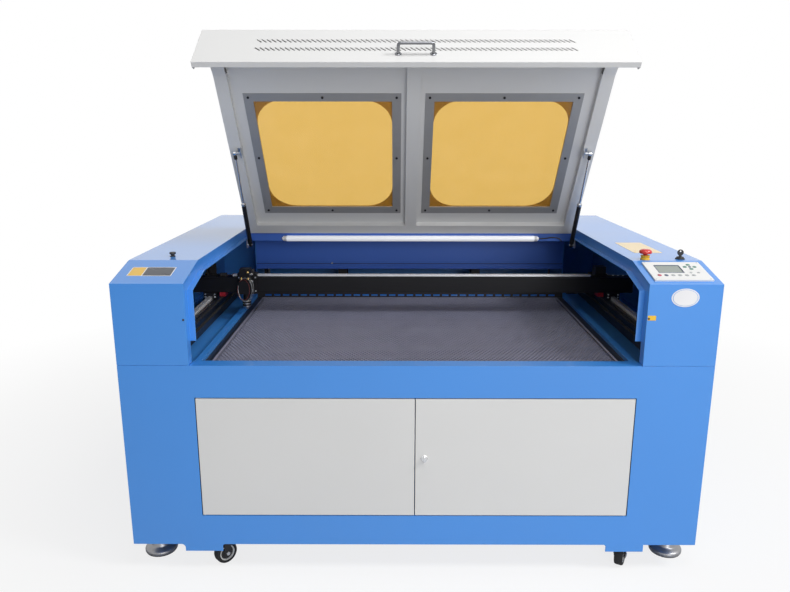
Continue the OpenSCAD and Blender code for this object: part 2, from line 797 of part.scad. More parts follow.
module castor_wheel(x, y, turn) {
    translate([x + cos(turn) * trail, y + sin(turn) * trail, wheel_z]) rotate([0, 0, turn]) rotate([90, 0, 0]) {
        rotate_extrude() polygon([[0, -wheel_w / 2], [wheel_r - 3, -wheel_w / 2], [wheel_r, -wheel_w / 2 + 5],
            [wheel_r, wheel_w / 2 - 5], [wheel_r - 3, wheel_w / 2], [0, wheel_w / 2]]);
        cylinder(r = 4, h = wheel_w + 11, center = true);
    }
}

module castor_mounts() {
    back = body_d - castor_y;
    color([0.5, 0.51, 0.53]) placed() {
        for (x = [castor_left, castor_right]) {
            difference() {
                box(x - 38, x + 38, castor_y - 38, castor_y + 38, floor_gap - 5, floor_gap);
                bar_z(x, castor_y, floor_gap - 6, floor_gap + 1, 7);
            }
            bar_z(x, castor_y, floor_gap - 6, floor_gap, 6);
        }
        for (x = [-castor_x, castor_x]) {
            box(x - 38, x + 38, back - 38, back + 38, floor_gap - 5, floor_gap);
            bar_z(x, back, floor_gap - 7, floor_gap - 4, 24);
            castor_fork(x, back, rear_turn);
        }
    }
}

module front_left_fork() {
    color([0.15, 0.15, 0.16]) placed() castor_fork(castor_left, castor_y, left_turn);
}

module front_right_fork() {
    color([0.15, 0.15, 0.16]) placed() castor_fork(castor_right, castor_y, right_turn);
}

module front_left_wheel() {
    color([0.05, 0.05, 0.05]) placed() castor_wheel(castor_left, castor_y, left_turn);
}

module front_right_wheel() {
    color([0.05, 0.05, 0.05]) placed() castor_wheel(castor_right, castor_y, right_turn);
}

module rear_wheels() {
    color([0.05, 0.05, 0.05]) placed() for (x = [-castor_x, castor_x])
        castor_wheel(x, body_d - castor_y, rear_turn);
}

module levelling_feet() {
    color([0.72, 0.73, 0.75]) placed()
        for (x = [-half_w + foot_x, half_w - foot_x], y = [foot_y, body_d - foot_y])
            translate([x, y, 0]) rotate_extrude() polygon([[0, 0], [foot_r - 4, 0], [foot_r, 4], [foot_r, 14],
                [foot_r - 6, 20], [foot_r - 22, 24], [foot_r - 24, 36], [14, 40], [14, 54], [8, 54],
                [8, floor_gap], [0, floor_gap]]);
}

// The lid is drawn closed and turned open about its hinge line
module lid_pose() {
    translate([0, hinge_y, hinge_z]) rotate([-lid_open, 0, 0])
        translate([0, -hinge_y, -hinge_z]) children();
}

lid_back = hinge_y - 6;
hood_lip = 18;
slots_n = floor((2 * lid_x - 360) / slot_pitch);

module slot_row(z) {
    for (k = [0 : slots_n - 1])
        translate([(k - (slots_n - 1) / 2) * slot_pitch, z]) rotate(-45)
            square([slot_l, slot_w], center = true);
}

module lid() {
    color([0.88, 0.88, 0.87]) placed() lid_pose() {
        // Top skin with its window openings
        difference() {
            along_x(-lid_x, lid_x) difference() {
                ring(0, sheet_t, hood_z, lid_back);
                translate([-1, hood_z - 1]) square([sheet_t + 1.001, nose_z - hood_z + 1]);
            }
            both() translate([pane_x0, pane_y, top_z - 3 * sheet_t]) linear_extrude(4 * sheet_t)
                rounded(pane_w, pane_d, window_r);
        }
        // Front wall with two rows of louvre slots
        translate([0, sheet_t, 0]) rotate([90, 0, 0]) linear_extrude(sheet_t) difference() {
            translate([-lid_x, hood_z]) square([2 * lid_x, nose_z - hood_z + 0.2]);
            slot_row(nose_z - 68);
            slot_row(nose_z - 117);
        }
        both() {
            along_x(lid_x - sheet_t, lid_x) difference() {
                ring(0, lid_t, hood_z, lid_back);
                polygon([[hood_lip, hood_z - 1], [lid_t + 1, hood_z - 1], [lid_t + 1, hood_z + lid_t - hood_lip]]);
            }
            along_x(lid_x - lid_rim, lid_x) difference() {
                ring(lid_t - sheet_t, lid_t, hood_z, lid_back);
                square([60, nose_z - lid_rim]);
            }
            box(lid_x - lid_rim, lid_x - lid_rim + sheet_t, nose_d, lid_back, rim_z, inner_z);
        }
        box(-lid_x, lid_x, 0, hood_lip, hood_z, hood_z + sheet_t);
        // Rear rim and its riser
        box(-lid_x, lid_x, lid_back - sheet_t, lid_back, rim_z, top_z);
        box(-lid_x, lid_x, lid_back - lid_rim, lid_back, rim_z, rim_z + sheet_t);
        box(-lid_x + 1, lid_x - 1, lid_back - lid_rim, lid_back - lid_rim + sheet_t, rim_z, inner_z);
        // Inner panel with its window openings, and the post between the windows
        difference() {
            box(-lid_x + lid_rim - 2, lid_x - lid_rim + 2, nose_d - 30, lid_back - lid_rim + sheet_t,
                inner_z, inner_z + sheet_t);
            both() box(pane_x0, pane_x0 + pane_w, pane_y, pane_y + pane_d, inner_z - 1, inner_z + sheet_t + 1);
        }
        box(-post_w / 2, post_w / 2, nose_d - 30, lid_back - lid_rim + 1, rim_z, inner_z + 1);
        // Knuckles of the lid's three hinges
        for (x = [-hinge_x, 0, hinge_x]) difference() {
            union() {
                bar_x(x - 16, x + 16, hinge_y, hinge_z, 5);
                box(x - 16, x + 16, lid_back, hinge_y, hinge_z - 5, hinge_z + 5);
            }
            bar_x(x - 17, x + 17, hinge_y, hinge_z, 3 + run);
        }
    }
}

hinge_x = lid_x * 0.753;

module lid_handle() {
    z = nose_z - 146;
    color([0.8, 0.81, 0.83]) placed() lid_pose() {
        for (s = [-1, 1]) {
            bar_y(s * handle_l / 2, -handle_out + handle_r, 0, z, handle_r);
            bar_y(s * handle_l / 2, -3, 0, z, handle_r + 3);
            translate([s * handle_l / 2, -handle_out + handle_r, z]) sphere(r = handle_r);
        }
        bar_x(-handle_l / 2, handle_l / 2, -handle_out + handle_r, z, handle_r);
    }
}

module lid_windows() {
    over = 22;
    color([0.95, 0.7, 0.2, 0.8]) placed() lid_pose() both()
        box(pane_x0 - over, pane_x0 + pane_w + over, pane_y - over, pane_y + pane_d + over,
            inner_z + sheet_t, inner_z + sheet_t + pane_t);
}

module window_frames() {
    color([0.68, 0.68, 0.68]) placed() lid_pose() both() difference() {
        box(pane_x0 - frame_w, pane_x0 + pane_w + frame_w, pane_y - frame_w, pane_y + pane_d + frame_w,
            inner_z - sheet_t, inner_z);
        box(pane_x0, pane_x0 + pane_w, pane_y, pane_y + pane_d, inner_z - sheet_t - 1, inner_z + 1);
        for (p = screw_places()) translate([p[0], p[1], inner_z - sheet_t - 1]) cylinder(r = 2.6, h = sheet_t + 2);
    }
}

// Eight screws round each window: the corners and the middles of the sides
function screw_places() = [
    for (i = [-1 : 1], j = [-1 : 1]) if (i != 0 || j != 0)
        [pane_x0 + pane_w / 2 + i * (pane_w + frame_w) / 2, pane_y + pane_d / 2 + j * (pane_d + frame_w) / 2]];

module window_screws() {
    color([0.3, 0.3, 0.32]) placed() lid_pose() both() for (p = screw_places()) {
        translate([p[0], p[1], inner_z - sheet_t - 3]) cylinder(r = 4.5, h = 3);
        translate([p[0], p[1], inner_z - sheet_t]) cylinder(r = 2.5, h = sheet_t);
    }
}

// Small angle on the lid's rim whose stud meets the strut's rod
module strut_studs() {
    color([0.65, 0.66, 0.68]) placed() lid_pose() both() {
        s = strut_lid;
        box(strut_x - 26, strut_x - 10, s[0] - 14, s[0] + 14, rim_z - 3, rim_z);
        box(strut_x - 26, strut_x - 23, s[0] - 14, s[0] + 14, s[1] - 12, rim_z);
        bar_x(strut_x - 24, strut_x - 5.5, s[0], s[1], strut_rod_r);
    }
}

module strut_pose() {
    translate([0, strut_base[0], strut_base[1]]) rotate([-strut_tilt, 0, 0]) children();
}

strut_eye = 5;
module strut_tubes() {
    color([0.05, 0.05, 0.06]) placed() strut_pose() both() difference() {
        union() {
            bar_y(strut_x, -strut_tube_l, -8, 0, strut_r);
            bar_x(strut_x - strut_eye, strut_x + strut_eye, 0, 0, 8);
            box(strut_x - 4, strut_x + 4, -14, 0, -5, 5);
        }
        bar_y(strut_x, -strut_tube_l - 1, -20, 0, strut_rod_r + run);
        bar_x(strut_x - strut_eye - 1, strut_x + strut_eye + 1, 0, 0, 4 + run);
    }
}

module strut_rods() {
    color([0.8, 0.8, 0.82]) placed() strut_pose() both() {
        bar_y(strut_x, -strut_len + 4, -strut_tube_l + 78, 0, strut_rod_r);
        bar_x(strut_x - strut_eye, strut_x + strut_eye, -strut_len, 0, 8);
    }
}

// Hanging plates under the rebate with the studs that the strut tubes turn on
module strut_brackets() {
    color([0.65, 0.66, 0.68]) placed() both() {
        y = strut_base[0];
        under = top_z - rebate_d - sheet_t;
        box(open_x - rebate_w, open_x - 1, y - 16, y + 16, under - 3, under);
        box(open_x - rebate_w, open_x - rebate_w + 3, y - 16, y + 16, strut_base[1] - 12, under);
        bar_x(strut_x - strut_eye - 3, open_x - rebate_w, y, strut_base[1], 4);
    }
}

// Pins and fixed knuckles of the lid's hinges, and the pins of the doors
module hinge_pins() {
    color([0.6, 0.61, 0.63]) placed() {
        for (x = [-hinge_x, 0, hinge_x]) {
            bar_x(x - 33, x + 33, hinge_y, hinge_z, 3);
            for (s = [-1, 1]) {
                bar_x(x + s * 24.6 - 8, x + s * 24.6 + 8, hinge_y, hinge_z, 5);
                box(x + s * 24.6 - 8, x + s * 24.6 + 8, hinge_y, channel_y, hinge_z - 5, hinge_z);
            }
        }
        both() {
            bar_x(cover_hinge_x - 37, cover_hinge_x + 37, body_d - 5, top_z - 6, 3);
            for (s = [-1, 1]) {
                x = cover_hinge_x + s * 28.8;
                bar_x(x - 8, x + 8, body_d - 5, top_z - 6, 5);
                box(x - 8, x + 8, body_d - 5, body_d, top_z - 16, top_z - 6);
            }
        }
        both() for (z = [door_z0 - sheet_t, door_z1 - 12 + sheet_t])
            bar_z(door_x - door_gap - door_pin, door_pin, z, z + 12, 3);
    }
}

// One front door, drawn on the right with its hinge at the outer edge
module door(split) {
    x0 = split;
    x1 = door_x - door_gap;
    z0 = door_z0 + door_gap;
    z1 = door_z1 - door_gap;
    difference() {
        box(x0, x1, 0, door_t, z0, z1);
        box(x0 + sheet_t, x1 - sheet_t, sheet_t, door_t + 1, z0 + 14, z1 - 14);
        bar_z(x1 - door_pin, door_pin, z0 - 1, z0 + 12, 3 + run);
        bar_z(x1 - door_pin, door_pin, z1 - 12, z1 + 1, 3 + run);
        children();
    }
}

lock_x = 30;
lock_z = (door_z0 + door_z1) / 2;

module left_door() {
    color([0.87, 0.87, 0.86]) placed() mirror([1, 0, 0]) door(door_gap / 2);
}

module right_door() {
    color([0.87, 0.87, 0.86]) placed() door(door_gap / 2) bar_y(lock_x, -1, door_t, lock_z, 8 + run);
}

module door_lock() {
    color([0.7, 0.71, 0.73]) placed() {
        bar_y(lock_x, 0, door_t + 3, lock_z, 8);
        bar_y(lock_x, -5, 0, lock_z, 11);
        box(lock_x - 3, lock_x + 3, -lock_out, -5, lock_z - 10, lock_z + 10);
        box(lock_x - 8, lock_x + 8, door_t + 3, door_t + 6, lock_z - 8, lock_z + 8);
    }
}

// Cover over the laser tube, hinged along the back
cover_y0 = channel_y + 16;
cover_hinge_x = open_x * 0.6;
module tube_cover() {
    edge = 12;
    cover_y1 = body_d - 12;
    w = open_x - 1.5;
    color([0.88, 0.88, 0.87]) placed() {
        box(-w, w, cover_y0, cover_y1, top_z - sheet_t, top_z);
        box(-w, w, cover_y0, cover_y0 + sheet_t, top_z - edge, top_z);
        both() box(w - sheet_t, w, cover_y0, cover_y1, top_z - edge, top_z);
        box(-w, w, cover_y1 - sheet_t, cover_y1, top_z - edge, top_z);
        both() difference() {
            union() {
                bar_x(cover_hinge_x - 20, cover_hinge_x + 20, body_d - 5, top_z - 6, 5);
                box(cover_hinge_x - 20, cover_hinge_x + 20, cover_y1 - 1, body_d - 5, top_z - 11, top_z - 6);
            }
            bar_x(cover_hinge_x - 21, cover_hinge_x + 21, body_d - 5, top_z - 6, 3 + run);
        }
    }
}

// Gantry
x_strip_h = 4;
module gantry_beam() {
    color([0.05, 0.05, 0.06]) placed() {
        difference() {
            box(-gantry_x, gantry_x, gantry_y, gantry_y + beam_s, beam_z, beam_z + beam_s);
            box(-gantry_x + 6, gantry_x - 6, gantry_y + beam_wall, gantry_y + beam_s - beam_wall,
                beam_z + beam_wall, beam_z + beam_s - beam_wall);
        }
        // Raised strip that the X guide is screwed to
        box(-head_x - 60, head_x + 60, gantry_y + 6, gantry_y + 6 + guide_w,
            beam_z + beam_s, beam_z + beam_s + x_strip_h);
    }
}

module gantry_carriages() {
    gap = 0.3;
    color([0.1, 0.1, 0.11]) placed() both() difference() {
        box(rail_x - 26, rail_x + 26, gantry_y - 8, gantry_y + beam_s + 8, rail_z + 3, beam_z);
        box(rail_x - guide_w / 2 - gap, rail_x + guide_w / 2 + gap, gantry_y - 9, gantry_y + beam_s + 9,
            rail_z, rail_z + guide_h + gap);
    }
}

// Red clamps that hold the Y belts to the beam
module belt_clamps() {
    top = belt_z + pulley_r + seat + belt_t;
    color([0.75, 0.12, 0.14]) placed() both()
        box(belt_x - 12, belt_x + 12, gantry_y + 2, gantry_y + 42, top + seat, beam_z);
}

module x_guide_rail() {
    color([0.82, 0.83, 0.85]) placed() difference() {
        box(-head_x - 60, head_x + 60, gantry_y + 6, gantry_y + 6 + guide_w,
            beam_z + beam_s + x_strip_h, beam_z + beam_s + 12);
        for (k = [-16 : 16])
            bar_z(k * (head_x + 40) / 16, gantry_y + 6 + guide_w / 2, beam_z + beam_s + 8, beam_z + beam_s + 13, 4);
    }
}

module x_belt() {
    color([0.05, 0.05, 0.05]) placed() translate([-x_pulley_x, x_pulley_y, x_belt_z])
        belt_loop(2 * x_pulley_x, pulley_r + seat, belt_w - 3);
}

module x_pulley(x) {
    translate([x, x_pulley_y, 0]) {
        bar_z(0, 0, x_belt_z - belt_w / 2, x_belt_z + belt_w / 2, pulley_r);
        bar_z(0, 0, x_belt_z - belt_w / 2 - 1.5, x_belt_z - belt_w / 2 + 0.5, pulley_r + 3);
    }
}

module x_drive_pulley() {
    color([0.7, 0.71, 0.73]) placed() {
        x_pulley(x_pulley_x);
        bar_z(x_pulley_x, x_pulley_y, x_belt_z - 12, x_belt_z + 28, 4);
    }
}

module x_idler_pulley() {
    color([0.7, 0.71, 0.73]) placed() difference() {
        x_pulley(-x_pulley_x);
        bar_z(-x_pulley_x, x_pulley_y, x_belt_z - 20, x_belt_z + 20, 4 + run);
    }
}

// Plates behind the beam: the motor at the right, the idler's axle at the left
module x_motor() {
    y0 = gantry_y + beam_s;
    plate_z = x_belt_z + 14;
    color([0.12, 0.12, 0.13]) placed() {
        difference() {
            union() {
                box(x_pulley_x - 28, x_pulley_x + 28, y0, y0 + 52, plate_z, plate_z + 5);
                box(x_pulley_x - 21, x_pulley_x + 21, y0 + 1, y0 + 43, plate_z + 5, plate_z + 48);
            }
            bar_z(x_pulley_x, x_pulley_y, plate_z - 1, plate_z + 16, 4 + run);
        }
        box(-x_pulley_x - 28, -x_pulley_x + 28, y0, y0 + 52, plate_z, plate_z + 5);
        bar_z(-x_pulley_x, x_pulley_y, x_belt_z - 10, plate_z, 4);
    }
}

// Laser head: a plate that hangs on the X guide, the third mirror, and the lens holder
module laser_head() {
    x = -head_x;
    y1 = gantry_y - 3;
    color([0.08, 0.08, 0.09]) placed() difference() {
        union() {
            box(x - head_w / 2, x + head_w / 2, y1 - 8, y1, beam_z - 4, beam_z + beam_s + 18);
            box(x - head_w / 2, x + head_w / 2, y1 - 8, gantry_y + guide_w + 12,
                beam_z + beam_s + 12.3, beam_z + beam_s + 18);
            for (s = [0, 1])
                box(x - head_w / 2, x + head_w / 2, gantry_y + 0.5 + s * (guide_w + 6),
                    gantry_y + 5.2 + s * (guide_w + 6), beam_z + beam_s + 1, beam_z + beam_s + 13);
            box(x - 24, x + 24, lens_y - 24, y1 - 8, beam_z + 6, beam_z + beam_s - 6);
            box(x - 20, x + 20, lens_y - 20, lens_y + 20, beam_z + beam_s - 6, beam_z + beam_s + 44);
        }
        bar_z(x, lens_y, beam_z, beam_z + beam_s + 20, lens_r + run);
        bar_x(x - 30, x + 1, lens_y, beam_z + beam_s + 25, 9);
    }
}

module lens_tube() {
    x = -head_x;
    color([0.7, 0.71, 0.73]) placed() translate([x, lens_y, 0]) rotate_extrude() polygon([
        [3, nozzle_z], [6, nozzle_z], [lens_r + 2, nozzle_z + 10], [lens_r + 2, nozzle_z + 34],
        [lens_r, nozzle_z + 36], [lens_r, beam_z + beam_s + 4], [lens_r - 3, beam_z + beam_s + 4],
        [lens_r - 3, nozzle_z + 30]]);
}

module second_mirror() {
    x = -rail_x + 5;
    z = beam_z + beam_s;
    color([0.6, 0.61, 0.63]) placed() {
        box(x - 24, x + 24, gantry_y + 4, gantry_y + 52, z, z + 5);
        translate([x, gantry_y + 26, z]) rotate([0, 0, 45]) {
            box(-22, 22, 4, 9, 5, 48);
            translate([0, 4, 26]) rotate([90, 0, 0]) cylinder(r = 15, h = 8);
            for (p = [[-16, 10], [16, 10], [-16, 42]])
                bar_y(p[0], 9, 17, p[1], 3);
        }
    }
}

// Shaft across the back with a pulley for each Y belt
module y_drive_shaft() {
    color([0.72, 0.73, 0.75]) placed() {
        bar_x(-rail_x - rail_w / 2 - 8, rail_x + rail_w / 2 + 30, drive_y, belt_z, shaft_r);
        both() bar_x(belt_x - belt_w / 2, belt_x + belt_w / 2, drive_y, belt_z, pulley_r);
        both() bar_x(belt_x + belt_w / 2, belt_x + belt_w / 2 + 2, drive_y, belt_z, pulley_r + 3);
    }
}

module y_idler_pulleys() {
    color([0.72, 0.73, 0.75]) placed() both() {
        bar_x(belt_x - belt_w / 2 - 1, rail_x + rail_w / 2 + 6, idler_y, belt_z, shaft_r);
        bar_x(belt_x - belt_w / 2, belt_x + belt_w / 2, idler_y, belt_z, pulley_r);
        bar_x(belt_x + belt_w / 2, belt_x + belt_w / 2 + 2, idler_y, belt_z, pulley_r + 3);
    }
}

base_frame();
base_shell();
rear_panel();
left_cabinet();
right_cabinet();
cross_channel();
inner_back_wall();
inner_deck();
bed_frame();
honeycomb_bed();
y_rail_beams();
y_guide_rails();
y_belts();
work_lamp();
laser_tube();
tube_supports();
y_motor();
control_panel();
control_screen();
switch_bodies();
louvre_panels();
exhaust_ducts();
power_inlet();
electronics();
castor_mounts();
levelling_feet();
strut_brackets();
hinge_pins();
lid();
lid_handle();
lid_windows();
window_frames();
window_screws();
strut_studs();
strut_tubes();
strut_rods();
left_door();
right_door();
door_lock();
tube_cover();
gantry_beam();
gantry_carriages();
belt_clamps();
x_guide_rail();
x_belt();
x_motor();
x_drive_pulley();
x_idler_pulley();
laser_head();
lens_tube();
second_mirror();
y_drive_shaft();
y_idler_pulleys();
estop_button();
key();
front_left_fork();
front_right_fork();
front_left_wheel();
front_right_wheel();
rear_wheels();
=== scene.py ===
# %% [markdown]
# # A laser cutting machine, one cell at a time
# The machine's exact solids come from a CAD model. They are loaded here as a fixed
# frame, and this lesson gives them their finishes and adds the small parts that make
# a machine look made: castors, keys, hoses, labels, a honeycomb bed. Everything is in
# metres, +Z is up, the front faces -Y, and the origin lies on the floor.

# %% Load the frame
import math
import bmesh
import bpy
import numpy as np
from mathutils import Matrix, Vector


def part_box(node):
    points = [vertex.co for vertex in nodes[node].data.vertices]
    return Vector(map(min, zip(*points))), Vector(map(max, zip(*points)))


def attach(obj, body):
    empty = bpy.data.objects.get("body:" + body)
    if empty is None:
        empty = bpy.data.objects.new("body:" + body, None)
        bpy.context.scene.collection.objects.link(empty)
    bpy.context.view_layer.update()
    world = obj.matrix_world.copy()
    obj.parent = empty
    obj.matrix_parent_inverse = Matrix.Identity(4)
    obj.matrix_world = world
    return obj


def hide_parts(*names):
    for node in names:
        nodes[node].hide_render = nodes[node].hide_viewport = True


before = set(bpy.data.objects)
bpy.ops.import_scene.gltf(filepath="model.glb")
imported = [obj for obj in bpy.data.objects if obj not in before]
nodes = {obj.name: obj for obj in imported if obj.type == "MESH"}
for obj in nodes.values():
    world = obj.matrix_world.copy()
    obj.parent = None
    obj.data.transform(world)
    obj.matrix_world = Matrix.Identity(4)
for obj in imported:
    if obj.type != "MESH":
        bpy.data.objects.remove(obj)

link = bpy.context.scene.collection.objects.link
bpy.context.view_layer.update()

# %% [markdown]
# ## Camera
# A machine this size is seen whole from a few metres away, a little above the lid's
# hinge, looking slightly down. A lens is described by its focal length against a 36 mm
# wide sensor: for a picture 790 units wide it is 697 units here. Each turn has one
# meaning: about the vertical, down, a trace of roll, and one that stands the camera up.

# %% Camera
def turn(axis, degrees):
    return Matrix.Rotation(math.radians(degrees), 4, axis)


picture_w, focal = 790, 697
camera = bpy.data.objects.new("camera", bpy.data.cameras.new("camera"))
camera.data.sensor_width = 36
camera.data.lens = 36 * focal / picture_w
camera.matrix_world = (Matrix.Translation((-0.059, -2.753, 1.422)) @ turn("Z", 0.13)
                       @ turn("X", -13.39) @ turn("Y", -0.05) @ turn("X", 90))
link(camera)
bpy.context.scene.camera = camera
bpy.context.scene.view_settings.view_transform = "Standard"
print("lens", round(camera.data.lens, 2), "mm")

# %% [markdown]
# ## Shader maths in Python's own signs
# Wiring Math nodes by hand is slow to read. A small class wraps one output socket and
# overloads the operators, so that `1 - mask * 0.5` adds the nodes by itself. A second
# class holds one material, and one method of it makes any node.

# %% The two shader classes
class Val:
    """One output socket. Each operator adds one Math node and returns its output."""

    def __init__(self, finish, socket):
        self.finish, self.socket = finish, socket

    def math(self, operation, *others):
        return self.finish.node("Math", dict(operation=operation), dict(enumerate((self, *others))))

    def __add__(self, other): return self.math("ADD", other)
    def __sub__(self, other): return self.math("SUBTRACT", other)
    def __mul__(self, other): return self.math("MULTIPLY", other)
    def __mod__(self, other): return self.math("FLOORED_MODULO", other)
    def __lt__(self, other): return self.math("LESS_THAN", other)
    def __abs__(self): return self.math("ABSOLUTE")

    def __rsub__(self, other):
        return self.finish.node("Math", dict(operation="SUBTRACT"), {0: other, 1: self})


class Finish:
    """One material: a Principled shader whose constants are set on its own sockets."""

    def __init__(self, name, color=(0.8, 0.8, 0.8), **constants):
        self.mat = bpy.data.materials.new(name)
        self.mat.use_nodes = True
        self.tree = self.mat.node_tree
        self.shader = self.tree.nodes["Principled BSDF"]
        self.mat.diffuse_color = (*color, 1)
        self.set(Base_Color=(*color, 1), **constants)

    def set(self, **sockets):
        for name, value in sockets.items():
            self.plug(self.shader.inputs[name.replace("_", " ")], value)
        return self

    def plug(self, socket, value):
        if isinstance(value, Val):
            self.tree.links.new(value.socket, socket)
        else:
            socket.default_value = value

    def node(self, kind, settings=None, inputs=None, out=0):
        made = self.tree.nodes.new("ShaderNode" + kind)
        for name, value in (settings or {}).items():
            setattr(made, name, value)
        for name, value in (inputs or {}).items():
            self.plug(made.inputs[name], value)
        return Val(self, made.outputs[out])

    def place(self, scale=(1, 1, 1)):
        """Object coordinates through a Mapping node, squeezed along each axis by scale."""
        return self.node("Mapping", None, {"Vector": self.node("TexCoord", out="Object"), "Scale": scale})

    def noise(self, scale, where=None, detail=3.0, rough=0.5):
        return self.node("TexNoise", None, {"Vector": where or self.place(), "Scale": scale,
                                            "Detail": detail, "Roughness": rough}, "Fac")

    def mix(self, share, first, second):
        """A colour that goes from first to second as share goes from 0 to 1."""
        made = self.node("Mix", dict(data_type="RGBA"), {0: share, 6: first, 7: second})
        made.socket = made.socket.node.outputs[2]
        return made

    def bump(self, height, strength=0.2, distance=0.001, normal=None):
        inputs = {"Height": height, "Strength": strength, "Distance": distance}
        if normal:
            inputs["Normal"] = normal
        return self.node("Bump", None, inputs)

    def soft_edge(self, radius=0.001):
        """The shader's own small rounding of a sheet's folded edges."""
        return self.node("Bevel", dict(samples=4), {"Radius": radius})


def shade(color, factor):
    return tuple(min(1, c * factor) for c in color[:3]) + (1,)


print("shader helpers ready")

# %% [markdown]
# ## Powder coat
# Most of the machine is folded steel sheet with a powder coat: dry plastic powder that
# is baked until it flows. It keeps a fine ripple, which is a small noise in the bump,
# and slight clouds of tone, a large noise in the colour. Folded edges get a painted
# highlight of the coat's sheen: a Bevel node gives the normal of a slightly rounded edge,
# and where that differs from the flat normal, the colour moves towards a lighter one.

# %% Powder coat finishes
def powder_coat(name, color, roughness=0.42, ripple=0.10, cloud=0.3, gloss=0.0):
    paint = Finish(name, color, Specular_IOR_Level=0.45, Coat_Roughness=0.14)
    broad = paint.noise(2.2, detail=2.0)
    grain = paint.noise(420.0, detail=2.0)
    tone = (broad - 0.5) * cloud + (grain - 0.5) * 0.1 + 0.5
    rounded = paint.soft_edge(0.0016)
    sharp = paint.node("NewGeometry", out="Normal")
    # Painted highlight: how far the rounded normal leaves the flat one, which lightens the folded edges.
    painted_edge_highlight = 1 - paint.node("VectorMath", dict(operation="DOT_PRODUCT"), {0: rounded, 1: sharp}, "Value")
    body = paint.mix(tone, shade(color, 0.86), shade(color, 1.14))
    paint.set(Base_Color=paint.mix((painted_edge_highlight * 1.6).math("MINIMUM", 0.35), body, shade(color, 1.7)),
              Roughness=(broad - 0.5) * 0.10 + (grain - 0.5) * 0.06 + roughness,
              Coat_Weight=gloss - broad * gloss * 0.3,
              Normal=paint.bump(grain, ripple, 0.0004, rounded))
    return paint.mat


blue = powder_coat("blue_powder_coat", (0.045, 0.255, 0.72), gloss=1.0)
# Painted shade: a darker, less glossy copy of the same blue coat, for the inner back wall and cross channel
# inside the machine.
shaded_blue = powder_coat("painted_shade_blue_coat", (0.05, 0.16, 0.62), gloss=0.3)
pale = powder_coat("pale_grey_powder_coat", (0.66, 0.66, 0.655), ripple=0.07, gloss=0.25)
# Painted light: a lighter copy of the doors' pale grey coat, for the lid's underside, which gets less light.
lid_painted_light_pale = powder_coat("lid_painted_light_coat", (0.73, 0.73, 0.725), ripple=0.07, gloss=0.25)
frame_grey = powder_coat("frame_paint", (0.025, 0.027, 0.03), 0.5)
black_paint = powder_coat("black_paint", (0.012, 0.012, 0.014), 0.38)
cabinet_grey = powder_coat("enclosure_paint", (0.33, 0.35, 0.37), 0.5)
print("powder coats:", blue.name, pale.name, lid_painted_light_pale.name, black_paint.name)

# %% [markdown]
# ## Bare metals
# Ground rails, zinc plate, turned aluminium and chrome differ mostly in two things:
# how sharp the reflection is, and which way the tool marks run. Tool marks are a noise
# squeezed along one axis. Zinc plate has a faint patchy bloom instead.

# %% Metal finishes
def metal(name, color, roughness, along=(1, 1, 1), marks=0.12, bloom=0.0, shine=1.0):
    steel = Finish(name, color, Metallic=shine)
    lines = steel.noise(160.0, steel.place(along), detail=4.0, rough=0.6)
    patches = steel.noise(28.0, detail=3.0)
    steel.set(Base_Color=steel.mix((patches - 0.5) * bloom + lines * 0.5,
                                   shade(color, 0.86), shade(color, 1.06)),
              Roughness=(lines - 0.5) * marks + (patches - 0.5) * bloom * 0.4 + roughness,
              Normal=steel.bump(lines, 0.06, 0.0003))
    return steel.mat


rail_steel = metal("ground_rail_steel", (0.86, 0.87, 0.89), 0.25, (0.05, 1, 4), shine=0.55)
zinc = metal("zinc_plate", (0.62, 0.64, 0.67), 0.34, marks=0.1, bloom=0.5)
chrome = metal("bright_chrome", (0.86, 0.87, 0.88), 0.10, marks=0.04)
# Painted reflection: a darker copy of the bright chrome, standing in for the dark surroundings that the lid's
# pull reflects.
chrome_painted_dark_reflection = metal("chrome_painted_dark_reflection", (0.25, 0.255, 0.27), 0.10, marks=0.05)
turned = metal("turned_aluminium", (0.74, 0.75, 0.77), 0.28, (1, 1, 12))
honeycomb_metal = metal("honeycomb_aluminium", (0.33, 0.335, 0.44), 0.55, marks=0.2, bloom=0.9, shine=0.5)
frame_steel = metal("brushed_frame_steel", (0.42, 0.42, 0.425), 0.5, (0.05, 1, 1), marks=0.2, bloom=0.4,
                    shine=0.35)
foot_steel = metal("cast_foot_steel", (0.34, 0.34, 0.35), 0.38, marks=0.2, bloom=0.6, shine=0.8)
brass = metal("turned_brass", (0.72, 0.52, 0.22), 0.25, (1, 1, 12))
print("metals:", rail_steel.name, zinc.name, chrome.name, turned.name, brass.name)

# %% [markdown]
# ## Anodised aluminium
# The beam and the head are dyed aluminium: a metal sheen under a thin dark skin. The
# fine lines of the extrusion run along x, so their noise is stretched that way.

# %% Anodised finishes
def anodised(name, color, roughness):
    skin = Finish(name, color, Metallic=0.3, Specular_IOR_Level=0.25)
    lines = skin.noise(220.0, skin.place((0.03, 1, 1)), detail=3.0)
    skin.set(Base_Color=skin.mix(lines, shade(color, 0.8), shade(color, 1.25)),
             Roughness=(lines - 0.5) * 0.15 + roughness,
             Normal=skin.bump(lines, 0.05, 0.0003, skin.soft_edge(0.0008)))
    return skin.mat


black_anodised = anodised("black_anodised", (0.010, 0.010, 0.012), 0.42)
red_anodised = anodised("red_anodised", (0.42, 0.02, 0.035), 0.3)
print("anodised:", black_anodised.name, red_anodised.name)

# %% [markdown]
# ## Plastics and rubber
# Moulded plastic has a fine spark-eroded grain, rubber is darker and rougher with a
# little dust. Each gets its own colour and grain size from one function.

# %% Plastic and rubber finishes
def moulded(name, color, roughness=0.45, grain=700.0, ripple=0.12, coat=0.0):
    resin = Finish(name, color, Coat_Roughness=0.15)
    fine = resin.noise(grain, detail=2.0)
    broad = resin.noise(9.0, detail=2.0)
    resin.set(Base_Color=resin.mix(broad, shade(color, 0.93), shade(color, 1.06)),
              Roughness=(fine - 0.5) * 0.12 + (broad - 0.5) * 0.08 + roughness,
              Coat_Weight=coat,
              Normal=resin.bump(fine, ripple, 0.0003, resin.soft_edge(0.0007)))
    return resin.mat


